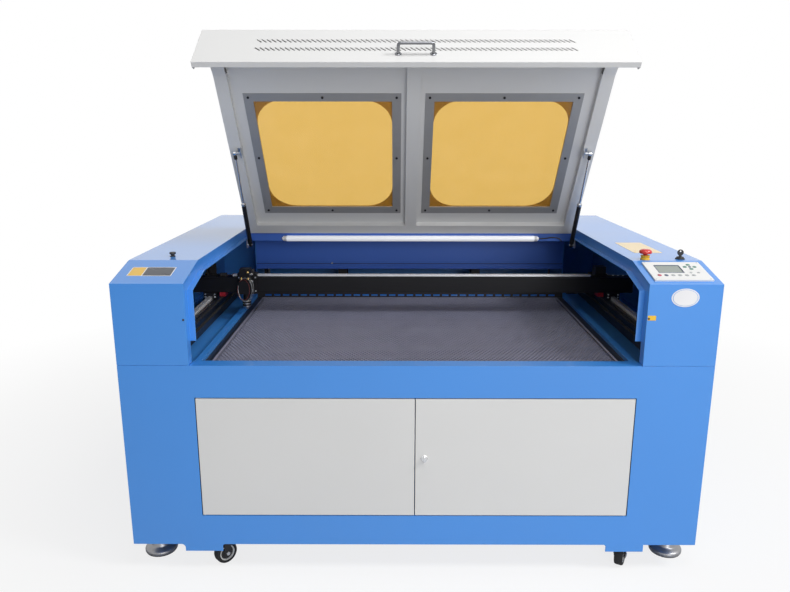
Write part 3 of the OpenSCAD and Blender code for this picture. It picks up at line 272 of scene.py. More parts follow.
white_plastic = moulded("bezel_plastic", (0.78, 0.78, 0.77))
black_plastic = moulded("black_plastic", (0.014, 0.014, 0.016), 0.5)
yellow_plastic = moulded("yellow_plastic", (0.80, 0.46, 0.02), 0.4)
red_plastic = moulded("red_plastic", (0.62, 0.015, 0.012), 0.25, ripple=0.04, coat=0.4)
belt_rubber = moulded("belt_rubber", (0.012, 0.012, 0.012), 0.7, 300.0, 0.3)
tread_rubber = moulded("tread_rubber", (0.006, 0.006, 0.007), 0.75, 260.0, 0.25)
rim_plastic = moulded("rim_plastic", (0.62, 0.62, 0.60), 0.4)
grey_key, dark_key, green_key, red_key = [moulded(name, color, 0.4) for name, color in (
    ("grey_key", (0.42, 0.44, 0.45)), ("dark_key", (0.10, 0.13, 0.20)),
    ("green_key", (0.13, 0.27, 0.22)), ("red_key", (0.45, 0.05, 0.10)))]
label_white, label_dark, label_yellow, label_amber = [
    moulded(name, color, 0.3, 900.0, 0.05, coat=0.3) for name, color in (
        ("label_white", (0.78, 0.78, 0.80)), ("label_dark", (0.018, 0.022, 0.035)),
        ("label_yellow", (0.80, 0.48, 0.025)), ("label_amber", (0.85, 0.66, 0.34)))]
clear_hose = moulded("clear_hose", (0.16, 0.17, 0.18), 0.2, 500.0, 0.03, coat=0.6)
red_wire = moulded("red_wire", (0.16, 0.02, 0.02), 0.4, 500.0)
print("plastics:", white_plastic.name, belt_rubber.name)

# %% [markdown]
# ## Amber windows, glass and the lamp
# The windows are acrylic dyed to stop the laser's light, so the material transmits and
# is tinted amber, with the slight orange peel of cast sheet. The laser tube is clear
# glass, and the lamp's diffuser is a milky plastic that glows a little.

# %% See-through finishes
amber = Finish("amber_acrylic", (0.96, 0.62, 0.17), IOR=1.49, Transmission_Weight=0.86)
wave = amber.noise(14.0, detail=3.0)
amber.set(Base_Color=amber.mix(wave, (0.93, 0.60, 0.15, 1), (1.0, 0.66, 0.20, 1)),
          Roughness=(wave - 0.5) * 0.06 + 0.16, Normal=amber.bump(wave, 0.05, 0.001))

glass = Finish("tube_glass", (0.86, 0.93, 0.95), IOR=1.47, Transmission_Weight=1.0)
wave = glass.noise(30.0, glass.place((0.1, 1, 1)))
glass.set(Roughness=wave * 0.04 + 0.01)

screen_glass = Finish("screen_glass", (0.30, 0.34, 0.31), Specular_IOR_Level=0.6)
up = screen_glass.node("SeparateXYZ", None, {0: screen_glass.place()}, "Y")
dot_row, half_line = 0.0012, 0.00008
lines = abs(up % dot_row - dot_row / 2) < half_line
screen_glass.set(Base_Color=screen_glass.mix(lines * 0.5, (0.27, 0.31, 0.28, 1), (0.20, 0.23, 0.22, 1)),
                 Roughness=screen_glass.noise(60.0) * 0.08 + 0.08)

lamp_glow = Finish("lamp_diffuser", (0.93, 0.94, 0.97), Emission_Strength=0.35, Roughness=0.4)
cloudy = lamp_glow.noise(40.0, lamp_glow.place((0.05, 1, 1)))
lamp_glow.set(Base_Color=lamp_glow.mix(cloudy, (0.90, 0.92, 0.97, 1), (0.97, 0.98, 1.0, 1)),
              Emission_Color=lamp_glow.mix(cloudy, (0.86, 0.90, 1.0, 1), (0.95, 0.97, 1.0, 1)))
print("see-through finishes ready")

# %% [markdown]
# ## Surfaces from grids of numbers
# Every new piece is a grid of points worked out at once. A turned part is a profile
# carried round an axis, and one rule makes the faces of every grid: join each point to
# its neighbours. Sizes are in millimetres, measured back from the front of the body and
# up from the floor, because that is how such a machine is drawn.

# %% Grids
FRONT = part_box("base_shell")[0].y * 1000
TOP_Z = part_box("left_cabinet")[1].z * 1000
FORWARD, BACK, UP, OUT = (0, -1, 0), (0, 1, 0), (0, 0, 1), (1, 0, 0)


def grid(points, ring=False):
    """Quads on a rows x columns grid that closes along its columns: face (i, j) joins
    points (i, j), (i, j+1), (i+1, j+1), (i+1, j). With ring the rows close as well."""
    rows, columns = points.shape[:2]
    i = np.arange(rows if ring else rows - 1)[:, None]
    j = np.arange(columns)[None, :]
    near, far = i * columns, (i + 1) % rows * columns
    right = (j + 1) % columns
    faces = np.stack([near + j, near + right, far + right, far + j], -1).reshape(-1, 4)
    return points.reshape(-1, 3), faces


def basis(along):
    """Three unit vectors square to each other, the third one along the given direction."""
    w = np.array(along, float) / np.linalg.norm(along)
    u = np.cross(w, (0, 0, 1) if abs(w[2]) < 0.9 else (0, 1, 0))
    u /= np.linalg.norm(u)
    return u, np.cross(w, u), w


def circle(count, start=0):
    """Points round a unit circle, the first at an angle in degrees."""
    a = np.radians(np.arange(count) * 360 / count + start)
    return np.stack([np.cos(a), np.sin(a)], -1)


def turned_part(profile, at=(0, 0, 0), along=(0, 0, 1), around=32, ring=False):
    """Profile points (r, h) round an axis: at + r cos t u + r sin t v + h w."""
    r, h = np.array(profile, float).T[:, :, None, None]
    u, v, w = basis(along)
    return grid(at + r * (circle(around) @ (u, v)) + h * w, ring)


def both_ways(half):
    """A profile that is the same above and below h = 0, by the half from its top down."""
    return [(r, -h) for r, h in half] + half[::-1]


def rod(length, radius, at, along, edge=0.6):
    """A bar from h = 0 to its length, whose rims are cut back by a small edge."""
    profile = [(0, 0), (radius - edge, 0), (radius, edge), (radius, length - edge),
               (radius - edge, length), (0, length)]
    return turned_part(profile, at, along, around=24)


print("front of the body at y =", round(FRONT), "mm, top at", round(TOP_Z), "mm")

# %% [markdown]
# ## Hoses and plates
# A hose is a circle carried along a path, and a plate is an outline carried through its
# thickness. A bent path is a few corners, cut again and again until it is a curve.

# %% Paths and outlines
def carried(path, radius, square_to, around):
    """A round section on a path: p + r (cos t n + sin t b), where b is square to the
    path's plane and n to both. The radius is 0 at the two ends, which closes them."""
    p = np.array(path, float)
    ahead = np.gradient(p, axis=0)
    ahead /= np.linalg.norm(ahead, axis=1)[:, None]
    b = np.array(square_to, float)[None, :]
    n = np.cross(b, ahead)
    n /= np.linalg.norm(n, axis=1)[:, None]
    b = np.cross(ahead, n)
    ends = np.r_[0, np.arange(len(p)), len(p) - 1]
    r = np.r_[0, np.full(len(p), radius), 0][:, None, None]
    c, s = circle(around).T[:, None, :, None]
    return grid(p[ends, None] + r * (c * n[ends, None] + s * b[ends, None]))


def eased(corners, rounds=3):
    """Corner cutting: each leg a-b gives 3/4 a + 1/4 b and 1/4 a + 3/4 b, ends kept."""
    p = np.array(corners, float)
    for _ in range(rounds):
        a, b = p[:-1], p[1:]
        cut = np.stack([0.75 * a + 0.25 * b, 0.25 * a + 0.75 * b], 1).reshape(-1, 3)
        p = np.concatenate([p[:1], cut, p[-1:]])
    return p


def outline(width, depth, radius, corner=5):
    """A rounded rectangle about the origin: four quarter circles joined by their ends."""
    a = np.radians(np.arange(4)[:, None] * 90 + np.linspace(0, 90, corner)[None, :])
    x = np.array([1, -1, -1, 1])[:, None] * (width / 2 - radius) + radius * np.cos(a)
    y = np.array([1, 1, -1, -1])[:, None] * (depth / 2 - radius) + radius * np.sin(a)
    return np.stack([x, y], -1).reshape(-1, 2)


def raised(flat, height):
    """The points of an outline at a height."""
    return np.c_[flat, np.full(len(flat), height)]


def slab(flat, thick, at=(0, 0, 0), u=(1, 0, 0), v=(0, 1, 0), edge=0.5):
    """An outline at heights 0, e, t - e and t, drawn in by e at the two faces, each of
    which closes at its middle. Local x and y lie along u and v, height along u x v."""
    scale = 1 - edge / np.abs(flat).max(0)
    steps = np.array([(0, 0), (1, 0), (2, edge), (2, thick - edge), (1, thick), (0, thick)])
    shrink = np.array([(0, 0), scale, (1, 1)])[steps[:, 0].astype(int)]
    height = steps[:, 1][:, None, None] * np.cross(u, v)
    return grid(at + (flat * shrink[:, None]) @ (u, v) + height)


def block(x0, x1, y0, y1, z0, z1, radius=2, edge=0.6):
    """A slab between two corners, with rounded upright edges."""
    at = ((x0 + x1) / 2, (y0 + y1) / 2, z0)
    return slab(outline(x1 - x0, y1 - y0, radius), z1 - z0, at, edge=edge)


def hexagon(across):
    """The six corners of a nut, by the distance across its flats."""
    return circle(6) * across / math.sqrt(3)


print("an outline has", len(outline(10, 10, 1)), "points")

# %% [markdown]
# ## From arrays to an object
# Shapes are repeated, mirrored and turned while they are still arrays, which is fast.
# One function then makes an object of them, with a material slot for each finish.

# %% Objects
def repeated(shape, places):
    """The shape once at each place, all in one array."""
    points, faces = shape
    places = np.array(places, float)
    shift = np.arange(len(places))[:, None, None] * len(points)
    return (places[:, None] + points[None]).reshape(-1, 3), (shift + faces[None]).reshape(-1, 4)


def mirrored(*shapes):
    """Each shape and its twin on the other side of the middle, turned right side out."""
    return [*shapes, *[(p * (-1, 1, 1), f[:, ::-1]) for p, f in shapes]]


def swung(shapes, pivot, degrees):
    """Shapes turned about a line along x through pivot (y, z)."""
    a = math.radians(degrees)
    turn_yz = np.array([[1, 0, 0], [0, math.cos(a), math.sin(a)], [0, -math.sin(a), math.cos(a)]])
    centre = (0, *pivot)
    return [((p - centre) @ turn_yz + centre, f) for p, f in shapes]


def make(name, body, parts, stands_for=(), weld=True):
    """One object from {finish: [shapes]}: arrays stacked, doubles merged so that poles
    and seams close, faces turned outwards, and sharp angles kept crisp."""
    shapes = [shape for group in parts.values() for shape in group]
    counts = np.cumsum([0] + [len(p) for p, _ in shapes])
    points = (np.concatenate([p for p, _ in shapes]) + (0, FRONT, 0)) * 0.001
    faces = np.concatenate([f + n for (_, f), n in zip(shapes, counts)])
    finish_no = np.concatenate([np.full(sum(len(f) for _, f in group), k)
                                for k, group in enumerate(parts.values())])
    mesh = bpy.data.meshes.new(name)
    mesh.from_pydata(points, [], faces)
    for material in parts:
        mesh.materials.append(material)
    mesh.polygons.foreach_set("material_index", finish_no.astype(np.int32))
    if weld:
        work = bmesh.new()
        work.from_mesh(mesh)
        bmesh.ops.remove_doubles(work, verts=work.verts, dist=2e-6)
        bmesh.ops.recalc_face_normals(work, faces=work.faces)
        work.to_mesh(mesh)
        work.free()
    mesh.shade_smooth()
    mesh.set_sharp_from_angle(angle=math.radians(38))
    piece = bpy.data.objects.new(name, mesh)
    link(piece)
    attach(piece, body)
    if stands_for:
        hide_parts(*stands_for)
    print(name, "on", body, "-", len(mesh.polygons), "faces")


print("ready to make pieces")

# %% [markdown]
# ## Honeycomb bed
# The work lies on a panel of aluminium honeycomb. It is thousands of six-sided tubes,
# so one cell is worked out as four rings of six points, and repeated on a grid whose odd
# rows move half a cell. The panel is two halves, to keep each mesh light.

# %% Honeycomb
PITCH, FIRST_ROW, MARGIN, BAND = 14.0, 9, 8, 7
comb_low, comb_high = [np.array(corner) * 1000 - (0, FRONT, 0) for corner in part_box("honeycomb_bed")]
low_z, high_z = comb_low[2], comb_high[2]
corner_ring = circle(6, 30) * PITCH / math.sqrt(3)
cell = grid(np.stack([raised(corner_ring * size, z) for size, z in
                      ((0.985, low_z), (0.985, high_z), (0.84, high_z), (0.84, low_z))]), ring=True)
rows = np.arange(comb_low[1] + FIRST_ROW, comb_high[1] - MARGIN, PITCH * math.sqrt(3) / 2)
many = int((comb_high[0] - MARGIN) / PITCH)
row_start = np.arange(len(rows)) % 2 * PITCH / 2 + PITCH / 4
x = (np.arange(-many, many) * PITCH)[None, :] + row_start[:, None]
y = np.broadcast_to(rows[:, None], x.shape)
places = np.stack([x, y, np.zeros_like(x)], -1).reshape(-1, 3)
left = places[:, 0] < 0
make("honeycomb_left", "base", {honeycomb_metal: [repeated(cell, places[left])]},
     ["honeycomb_bed"], weld=False)
make("honeycomb_right", "base", {honeycomb_metal: [repeated(cell, places[~left])]},
     weld=False)
edge_bars = [block(comb_low[0], comb_high[0], start, start + BAND, low_z, high_z, 1)
             for start in (comb_low[1], comb_high[1] - BAND)]
edge_bars += mirrored(block(comb_high[0] - BAND, comb_high[0], comb_low[1] + BAND + 0.2,
                            comb_high[1] - BAND - 0.2, low_z, high_z, 1))
make("honeycomb_edge", "base", {honeycomb_metal: edge_bars})

# %% [markdown]
# ## On the lid
# The lid is drawn shut and swung open about its hinge, as the CAD does. It carries a
# bright U of bent bar as a pull, and behind the louvre slots a black strip of painted shade.

# %% Lid pieces
HINGE, NOSE_Z, LID_ANGLE = (932, 998), 974, -54
GRIP_X, GRIP_Z, GRIP_OUT, GRIP_R = 55, NOSE_Z - 146, 37, 5
PAINTED_SHADE_X, PAINTED_SHADE_LOW, PAINTED_SHADE_HIGH = 655, NOSE_Z - 140, NOSE_Z - 44


def on_lid(*shapes):
    return swung(shapes, HINGE, LID_ANGLE)


half_grip = [(GRIP_X, 0), (GRIP_X, 8 - GRIP_OUT), (GRIP_X - 3, -GRIP_OUT), (GRIP_X - 12, -GRIP_OUT)]
grip_route = [(-x, y, GRIP_Z) for x, y in half_grip] + [(x, y, GRIP_Z) for x, y in half_grip[::-1]]
grip = carried(eased(grip_route), GRIP_R, UP, 16)
collar = [(0, 0), (GRIP_R + 6, 0), (GRIP_R + 6, 1.5), (GRIP_R + 4, 3.2), (GRIP_R + 1, 4), (0, 4)]
collars = mirrored(turned_part(collar, (GRIP_X, 0, GRIP_Z), FORWARD, 28))
make("pull_handle", "lid", {chrome_painted_dark_reflection: on_lid(grip, *collars)}, ["lid_handle"])

# Painted shade: a black strip behind the louvre slots, so that they look dark.
painted_shade_strip = block(-PAINTED_SHADE_X, PAINTED_SHADE_X, 5, 7, PAINTED_SHADE_LOW, PAINTED_SHADE_HIGH, 0.8, 0.4)
painted_shade_lips = [block(-PAINTED_SHADE_X, PAINTED_SHADE_X, 5, 13, z, z + 1, 0.8, 0.3) for z in (PAINTED_SHADE_LOW - 1, PAINTED_SHADE_HIGH)]
make("slot_painted_shade", "lid", {black_paint: on_lid(painted_shade_strip, *painted_shade_lips)})

# %% [markdown]
# ## Gas struts
# A gas strut is a black tube with a bright rod. Where the rod leaves the tube there is a
# crimped gland, and each end has a threaded neck. Glands and necks are drawn along -y
# from the lower pivot and swung to the strut's own slope.

# %% Strut pieces
STRUT_BASE, STRUT_LEN, STRUT_TILT, STRUT_X = (850, 955), 432.7, 61.92, 670


def on_struts(profile, ring=False):
    """The same turned part on both struts."""
    shapes = [turned_part(profile, (side * STRUT_X, 0, 0), FORWARD, 24, ring) for side in (-1, 1)]
    return swung([(p + (0, *STRUT_BASE), f) for p, f in shapes], STRUT_BASE, -STRUT_TILT)


gland = [(4.2, 196), (9.3, 196), (9.6, 199), (9.6, 204), (8.4, 207), (6.0, 208), (4.2, 208)]
neck = [(0, 8), (5.5, 8), (5.5, 11), (7.5, 13), (9.2, 20), (9.2, 23), (0, 23)]
make("strut_glands", "strut_tubes",
     {zinc: on_struts(gland, ring=True), black_paint: on_struts(neck)})
rod_neck = [(r, STRUT_LEN - back) for r, back in ((0, 26), (5.5, 26), (6.5, 24), (6.5, 12), (5.0, 9), (0, 9))]
make("strut_rod_ends", "strut_rods", {black_paint: on_struts(rod_neck)})

# %% [markdown]
# ## Controls on the right cabinet
# The keypad sits on the sloping nose. A point there is given by its distance across,
# its distance up the slope, and its height above the sheet. Keys are low domes: a
# profile that rises as a quarter of an ellipse. A screw holds each corner.

# %% Keypad
SLOPE = math.atan2(TOP_Z - NOSE_Z, 170)
UP_SLOPE = np.array((0, math.cos(SLOPE), math.sin(SLOPE)))
OFF_SLOPE = np.array((0, -math.sin(SLOPE), math.cos(SLOPE)))
PANEL_X, PANEL_UP, PANEL_THICK = 720, 21, 5
ARROWS = (138, 94)


def on_nose(x, up, height=0.0):
    return (x, 0, NOSE_Z) + up * UP_SLOPE + height * OFF_SLOPE


def on_panel(across, up, height=PANEL_THICK):
    return on_nose(PANEL_X + across, PANEL_UP + up, height)


quarter = np.radians(np.linspace(0, 90, 6))[:-1]
dome = [(0, 0), (6.2, 0), (6.2, 0.8),
        *[(5.8 * math.cos(a), 0.8 + 1.6 * math.sin(a)) for a in quarter], (0, 2.4)]


def key_dome(across, up, size=1.0):
    return turned_part([(r * size, h) for r, h in dome], on_panel(across, up), OFF_SLOPE, 20)


def screws(along, radius, height, places):
    """A round head at each place. Its profile goes from the socket's middle over the rim."""
    profile = [(0, 0.35), (0.5, 0.45), (0.55, 1), (0.85, 1), (1, 0.75), (1, 0), (0, 0)]
    head = turned_part([(radius * r, height * h) for r, h in profile], along=along, around=12)
    return repeated(head, places)


rim_steps = ((75, 53, 1.5, 0), (75, 53, 1.5, 1.2), (79, 57, 3, 1.5), (80, 58, 3.5, 0.9), (80, 58, 3.5, 0))
rim_points, rim_faces = grid(np.stack([raised(outline(w, d, r), h) for w, d, r, h in rim_steps]), ring=True)
screen_rim = on_panel(68, 79, 4.2) + rim_points @ np.array([OUT, UP_SLOPE, OFF_SLOPE]), rim_faces
low_keys = [key_dome(24 + 21 * k, 33) for k in range(6)]
arrows = [key_dome(*place) for place in ARROWS + circle(4) * 15]
make("keypad_keys", "base", {
    red_key: [low_keys[0]],
    dark_key: [low_keys[1], key_dome(*ARROWS, 0.7), screen_rim],
    grey_key: low_keys[2:] + [key_dome(127, 51, 0.8), key_dome(150, 51, 0.8)],
    green_key: arrows})
corners = [on_panel(across, up) for across in (7, 171) for up in (7, 125)]
make("keypad_screws", "base", {zinc: [screws(OFF_SLOPE, 2.4, 1.2, corners)]})

# %% [markdown]
# ## Emergency stop and key switch
# The emergency stop is a red mushroom over a yellow collar, on a shaft that travels a
# few millimetres. The key switch has a ring nut above the sheet and a barrel below it.

# %% Switch pieces
STOP_AT, KEY_AT = (746, 192), (863, 202)
cap = [(0, -12), (7, -12), (7, 19.2), (9, 19.4), (17, 19.5), (19.4, 21), (20, 24), (19.6, 27.5), (17.5, 30.6),
       (13.5, 32.8), (8, 33.9), (0, 34.2)]
make("stop_mushroom", "estop_button",
     {red_plastic: [turned_part(cap, (*STOP_AT, TOP_Z), around=48)]}, ["estop_button"])
stop_collar = [(7.1, -20), (10.7, -20), (10.7, 0), (15, 0), (15, 3), (13.4, 4.4), (13.4, 9), (14.6, 10.6),
               (14.6, 13), (13.6, 14), (7.1, 14)]
contact_block = [(8.4, -45), (13, -45), (13, -22), (8.4, -22)]
ring_nut = [(5.1, -8), (7.7, -8), (7.7, 0), (15, 0), (15, 2.2), (13.8, 3), (12.2, 3), (11.6, 6.4), (10.8, 7),
            (5.1, 7)]
make("switch_collars", "base", {
    yellow_plastic: [turned_part(stop_collar, (*STOP_AT, TOP_Z), around=40, ring=True)],
    black_plastic: [turned_part(ring_nut, (*KEY_AT, TOP_Z), around=40, ring=True),
                    turned_part(contact_block, (*STOP_AT, TOP_Z), ring=True),
                    rod(22, 12, (*KEY_AT, TOP_Z - 35), UP, 1)]}, ["switch_bodies"])

# %% [markdown]
# ## Plates and labels
# Thin printed plates are stuck to the cabinets. Here they are bare fields of colour: a
# yellow and a dark field on the left nose, an oval on the right front, a small tag, and
# a large amber one on the right top. An oval is a circle stretched both ways.

# %% Plates
OVAL_AT = (808, 933)


def nose_plate(x0, x1, up0, up1, height, thick, radius):
    return slab(outline(x1 - x0, up1 - up0, radius), thick,
                on_nose((x0 + x1) / 2, (up0 + up1) / 2, height), v=UP_SLOPE, edge=0.1)


def front_plate(flat, thick, x, z, off=0.05):
    """A plate a little off the front face, which thickens forwards."""
    return slab(flat, thick, (x, -off, z), OUT, UP, 0.1)


oval = circle(48) * (42, 28.5)
make("bare_plates", "base", {
    label_white: [nose_plate(-887, -750, 54, 119, 0.05, 0.4, 3), front_plate(oval, 0.5, *OVAL_AT)],
    label_yellow: [nose_plate(-884, -842, 57, 116, 0.45, 0.25, 2),
                   front_plate(outline(25, 15, 1), 0.5, 712.5, 870)],
    label_dark: [nose_plate(-839, -753, 57, 116, 0.45, 0.25, 2)],
    label_amber: [block(752, 848, 314, 536, TOP_Z + 0.05, TOP_Z + 0.5, 4, 0.1)],
    blue: [front_plate(oval * 0.9, 0.2, *OVAL_AT, 0.55)]})
make("oval_field", "base", {label_white: [front_plate(oval * 0.87, 0.2, *OVAL_AT, 0.75)]})

# %% [markdown]
# ## Screws and small fittings
# Sheet metal is held by dozens of low round heads. One head is repeated at a list of
# places, so a row of them costs almost nothing.

# %% Screws
SIDE_X, BACK_Y, Y_RAIL_Z, X_RAIL_REACH = 922, 1390, 778, 685
side_rows = [(SIDE_X, y, z) for y in (306, 720, 1134) for z in (216, 600)]
side_rows += [(SIDE_X, y, 408) for y in (306, 1134)]
back_rows = [(x, BACK_Y, z) for x in (-905, -600, 0, 600, 905) for z in (112, 702)]
back_rows += [(x, BACK_Y, z) for x in (-905, 905) for z in (300, 500, 760, 990)]
back_rows += [(x, BACK_Y, 980) for x in (-660, -200, 200, 660)]
back_rows += [(x, BACK_Y + 2, z) for x in (-422, -140, 140, 422) for z in (257, 468)]
make("panel_screws", "base",
     {zinc: mirrored(screws(OUT, 4.5, 2.2, side_rows)) + [screws(BACK, 4.5, 2.2, back_rows)]})
y_rail_rows = [(795, 99 + 60 * k, Y_RAIL_Z) for k in range(16)]
make("y_rail_screws", "base", {black_paint: mirrored(screws(UP, 3.4, 3.4, y_rail_rows))})
x_rail_rows = [(k * X_RAIL_REACH / 16, 663.5, 865) for k in range(-16, 17)]
make("x_rail_screws", "gantry", {black_paint: [screws(UP, 3.4, 2.4, x_rail_rows)]})
rivet = turned_part([(0, 0), (3.4, 0), (3.2, 1.1), (2.2, 1.6), (0, 1.6)], along=FORWARD, around=16)
make("lip_rivets", "base",
     {black_plastic: [repeated(rivet, [(-705, 0, 862), (703.5, 0, 868)])]})
knob = [(0, 0), (9, 0), (9, 2), (6, 3.5), (6, 6), (10, 8), (10.5, 12), (9, 14.5), (0, 15)]
make("top_knob", "base", {black_plastic: [turned_part(knob, (-799, 236, TOP_Z), around=28)]})

# %% [markdown]
# ## Feet
# A levelling foot is a threaded rod in a dished pad with a rubber sole, and two jam
# nuts. The thread is a profile whose radius goes in and out once a millimetre.

# %% Feet
FOOT_X, FOOT_Y, FOOT_BACK_Y = 876, 126, 1264
turns = [(7.9 if h % 2 else 7.0, h) for h in range(24, 100)]
thread = [(0, 22), (7.4, 22), *turns, (7.4, 99.7), (0, 99.7)]
dish = [(0, 4), (51, 4), (53.4, 5), (54, 8), (54, 13), (52.5, 16), (48, 19.5), (40, 22), (33, 24), (31, 26),
        (29.5, 34), (27, 38), (15, 40.5), (0, 41)]
sole = [(0, 0), (49, 0), (51, 1), (51.5, 4), (0, 4)]
feet_at = [(x, y, 0) for x in (-FOOT_X, FOOT_X) for y in (FOOT_Y, FOOT_BACK_Y)]
foot_parts = [turned_part(dish, around=48), turned_part(thread, around=20),
              *[slab(hexagon(26), 11, (0, 0, z), edge=0.8) for z in (43, 88)]]
make("levelling_pads", "base", {
    foot_steel: [repeated(shape, feet_at) for shape in foot_parts],
    tread_rubber: [repeated(turned_part(sole, around=48), feet_at)]}, ["levelling_feet"])

# %% [markdown]
# ## Castor wheels
# A castor's wheel is a hard tread, a pale plastic rim and a dark hub, on an axle with a
# nut outside each side of the fork. Its middle is a trail's length from the swivel, and
# its axle is square to that, so one function places them all by a point and an angle.

# %% Castor wheels
WHEEL_Z, CASTOR_X, CASTOR_Y, REAR_Y, TRAIL = 38.5, 660, 79, 1311, 36
FRONT_SHIFT, LEFT_TURN, RIGHT_TURN, REAR_TURN = 51, -137, -118, -90
tread = both_ways([(26.4, 13), (33, 14), (36, 12.5), (37.5, 8)])
rim = both_ways([(22.4, 11), (23.2, 13.2), (26.4, 13.2)])
hub = both_ways([(0, 12), (9, 13), (10.5, 11), (13, 8.5), (22.4, 8.5)])
axle = both_ways([(0, 21.5), (2.6, 21.5), (4, 20)])


def wheels(*spots):
    """The finishes and shapes of the wheels whose swivels are at (x, y, degrees)."""
    parts = {tread_rubber: [], rim_plastic: [], black_plastic: [], zinc: []}
    for x, y, degrees in spots:
        a = math.radians(degrees)
        ahead, along = np.array((math.cos(a), math.sin(a), 0)), np.array((-math.sin(a), math.cos(a), 0))
        middle = (x, y, WHEEL_Z) + TRAIL * ahead
        parts[tread_rubber].append(turned_part(tread, middle, along, 48, ring=True))
        parts[rim_plastic].append(turned_part(rim, middle, along, 48, ring=True))
        parts[black_plastic].append(turned_part(hub, middle, along, 40))
        parts[zinc].append(turned_part(axle, middle, along, 16))
        parts[zinc] += [slab(hexagon(12), 2.6, middle + along * s * 18.7, (0, 0, s), ahead) for s in (1, -1)]
    return parts


for name, node_name, spots in (
        ("castor_front_left", "front_left_wheel", [(FRONT_SHIFT - CASTOR_X, CASTOR_Y, LEFT_TURN)]),
        ("castor_front_right", "front_right_wheel", [(FRONT_SHIFT + CASTOR_X, CASTOR_Y, RIGHT_TURN)]),
        ("castors_rear", "rear_wheels", [(x, REAR_Y, REAR_TURN) for x in (-CASTOR_X, CASTOR_X)])):
    make(name, node_name, wheels(*spots), [node_name])

# %% [markdown]
# ## Door lock
# The doors close with a small turn handle: a round rose, a neck, and a wing that the
# fingers turn, whose edges are rounded. Behind the door is a square washer.

# %% Lock
LOCK_X, LOCK_Z, DOOR_T = 30, 407.5, 20
rose = [(0, 0), (11, 0), (11, 2.5), (9.5, 4.4), (5, 5), (0, 5)]
wing = slab(outline(7, 20, 3), 9, (LOCK_X, -5, LOCK_Z), OUT, UP, 1.5)
shank = rod(23, 7.9, (LOCK_X, 0, LOCK_Z), BACK)
make("turn_handle", "door_lock", {
    chrome: [turned_part(rose, (LOCK_X, 0, LOCK_Z), FORWARD, 32), wing, shank],
    black_paint: [block(LOCK_X - 8, LOCK_X + 8, DOOR_T + 3, DOOR_T + 6, LOCK_Z - 8, LOCK_Z + 8, 1)]},
     ["door_lock"])

# %% [markdown]
# ## Lens and nozzle
# The laser head is a stack of black blocks from the CAD. Below it hangs the lens tube:
# a dark holder with two knurled rings, and a bright tip that lets the beam out. A knurl
# is a circle whose points go in and out by turns.

# %% Lens tube
HEAD_X, HEAD_Y, BEAM_TOP, NOZZLE_Z = -645, 614, 857, 740
holder = [(0, NOZZLE_Z + 30), (11, NOZZLE_Z + 30), (13, NOZZLE_Z + 32), (13, BEAM_TOP + 4), (0, BEAM_TOP + 4)]
tip = [(1.6, 0), (5.5, 0), (6.5, 1.5), (8, 5), (15, 11), (15, 33), (13, 35), (1.6, 35)]
nozzle = [(r, NOZZLE_Z + h) for r, h in tip]
knurl = circle(96) * np.where(np.arange(96) % 2, 16.4, 15.5)[:, None]
knurls = [slab(knurl, 7, (HEAD_X, HEAD_Y, NOZZLE_Z + z), edge=0.6) for z in (14, 24)]
make("lens_nozzle", "lens_tube", {
    black_anodised: [turned_part(holder, (HEAD_X, HEAD_Y, 0), around=36), *knurls],
    turned: [turned_part(nozzle, (HEAD_X, HEAD_Y, 0), around=36, ring=True)]}, ["lens_tube"])

# %% [markdown]
# ## On the laser head
# Three brass screws tilt the head's mirror, whose bright cap is on top. A clear air hose
# bows out from the head and returns beside the tip, and two thin leads do the same:
# each is most of an ellipse, upright before the head and open at the top left.

# %% Head pieces
adjuster = [(0, 0), (4.6, 0), (5, 1), (5, 5), (4.2, 6), (2.5, 6.4), (2.5, 12), (0, 12)]
adjusters = [turned_part(adjuster, (HEAD_X + dx, HEAD_Y - 20, BEAM_TOP + dz), FORWARD, 20)
             for dx, dz in ((-13, 6), (13, 6), (13, 32))]
mirror_cap = turned_part([(0, 0), (17, 0), (17, 3), (14, 5), (0, 5)], (HEAD_X, HEAD_Y, BEAM_TOP + 38), UP)
boss = [(0, 0), (5, 0), (5, 3), (3.4, 4), (3.4, 8), (0, 8)]
bosses = [turned_part(boss, (HEAD_X + 20, HEAD_Y, BEAM_TOP + dz), OUT, 16) for dz in (20, -8)]


def head_loop(middle_x, front, half_x, half_z, radius, lean):
    """A hose along (half_x cos t, half_z sin t), leaning forwards as it rises."""
    t = np.radians(np.linspace(130, -200, 48))
    points = np.stack([HEAD_X + middle_x + half_x * np.cos(t), HEAD_Y + front + lean * np.sin(t),
                       BEAM_TOP - 34 + half_z * np.sin(t)], -1)
    return carried(points, radius, BACK, 8)


head_hose = head_loop(2, -30, 27, 44, 1.2, 6)
red_lead, pale_lead = head_loop(-3, -34, 23, 39, 0.7, 4), head_loop(4, -27, 31, 48, 0.7, 8)
fitting = turned_part([(0, 0), (4.5, 0), (4.5, 6), (3.2, 7), (3.2, 12), (0, 12)],
                      (HEAD_X + 22, HEAD_Y - 6, BEAM_TOP - 48), (0.3, 0, 1), 16)
carrier = block(HEAD_X - 30, HEAD_X + 24, HEAD_Y + 40, HEAD_Y + 60, BEAM_TOP + 18.3, BEAM_TOP + 30, 3, 1)
make("head_details", "laser_head", {
    brass: adjusters, turned: [mirror_cap, *bosses, fitting], clear_hose: [head_hose, pale_lead],
    red_wire: [red_lead], black_plastic: [carrier]})
plate_rows = [(HEAD_X + dx, 639, BEAM_TOP + dz) for dx in (-32, -24, 32) for dz in (2, -52)]
make("head_screws", "laser_head", {zinc: [screws(FORWARD, 3, 2, plate_rows)]})

# %% [markdown]
# ## Gantry ends
# The beam is an extrusion closed by a plate at each end, and each end has a cable
# bracket. On the left end stands the second mirror, tilted by three springs and screws,
# with a terminal block beside it. A bumper at each end stops the head.

# %% Gantry pieces
BEAM_END, BEAM_Y, BEAM_Z = 870, 680, 827
MIRROR_X, MIRROR_Y = -790, 676


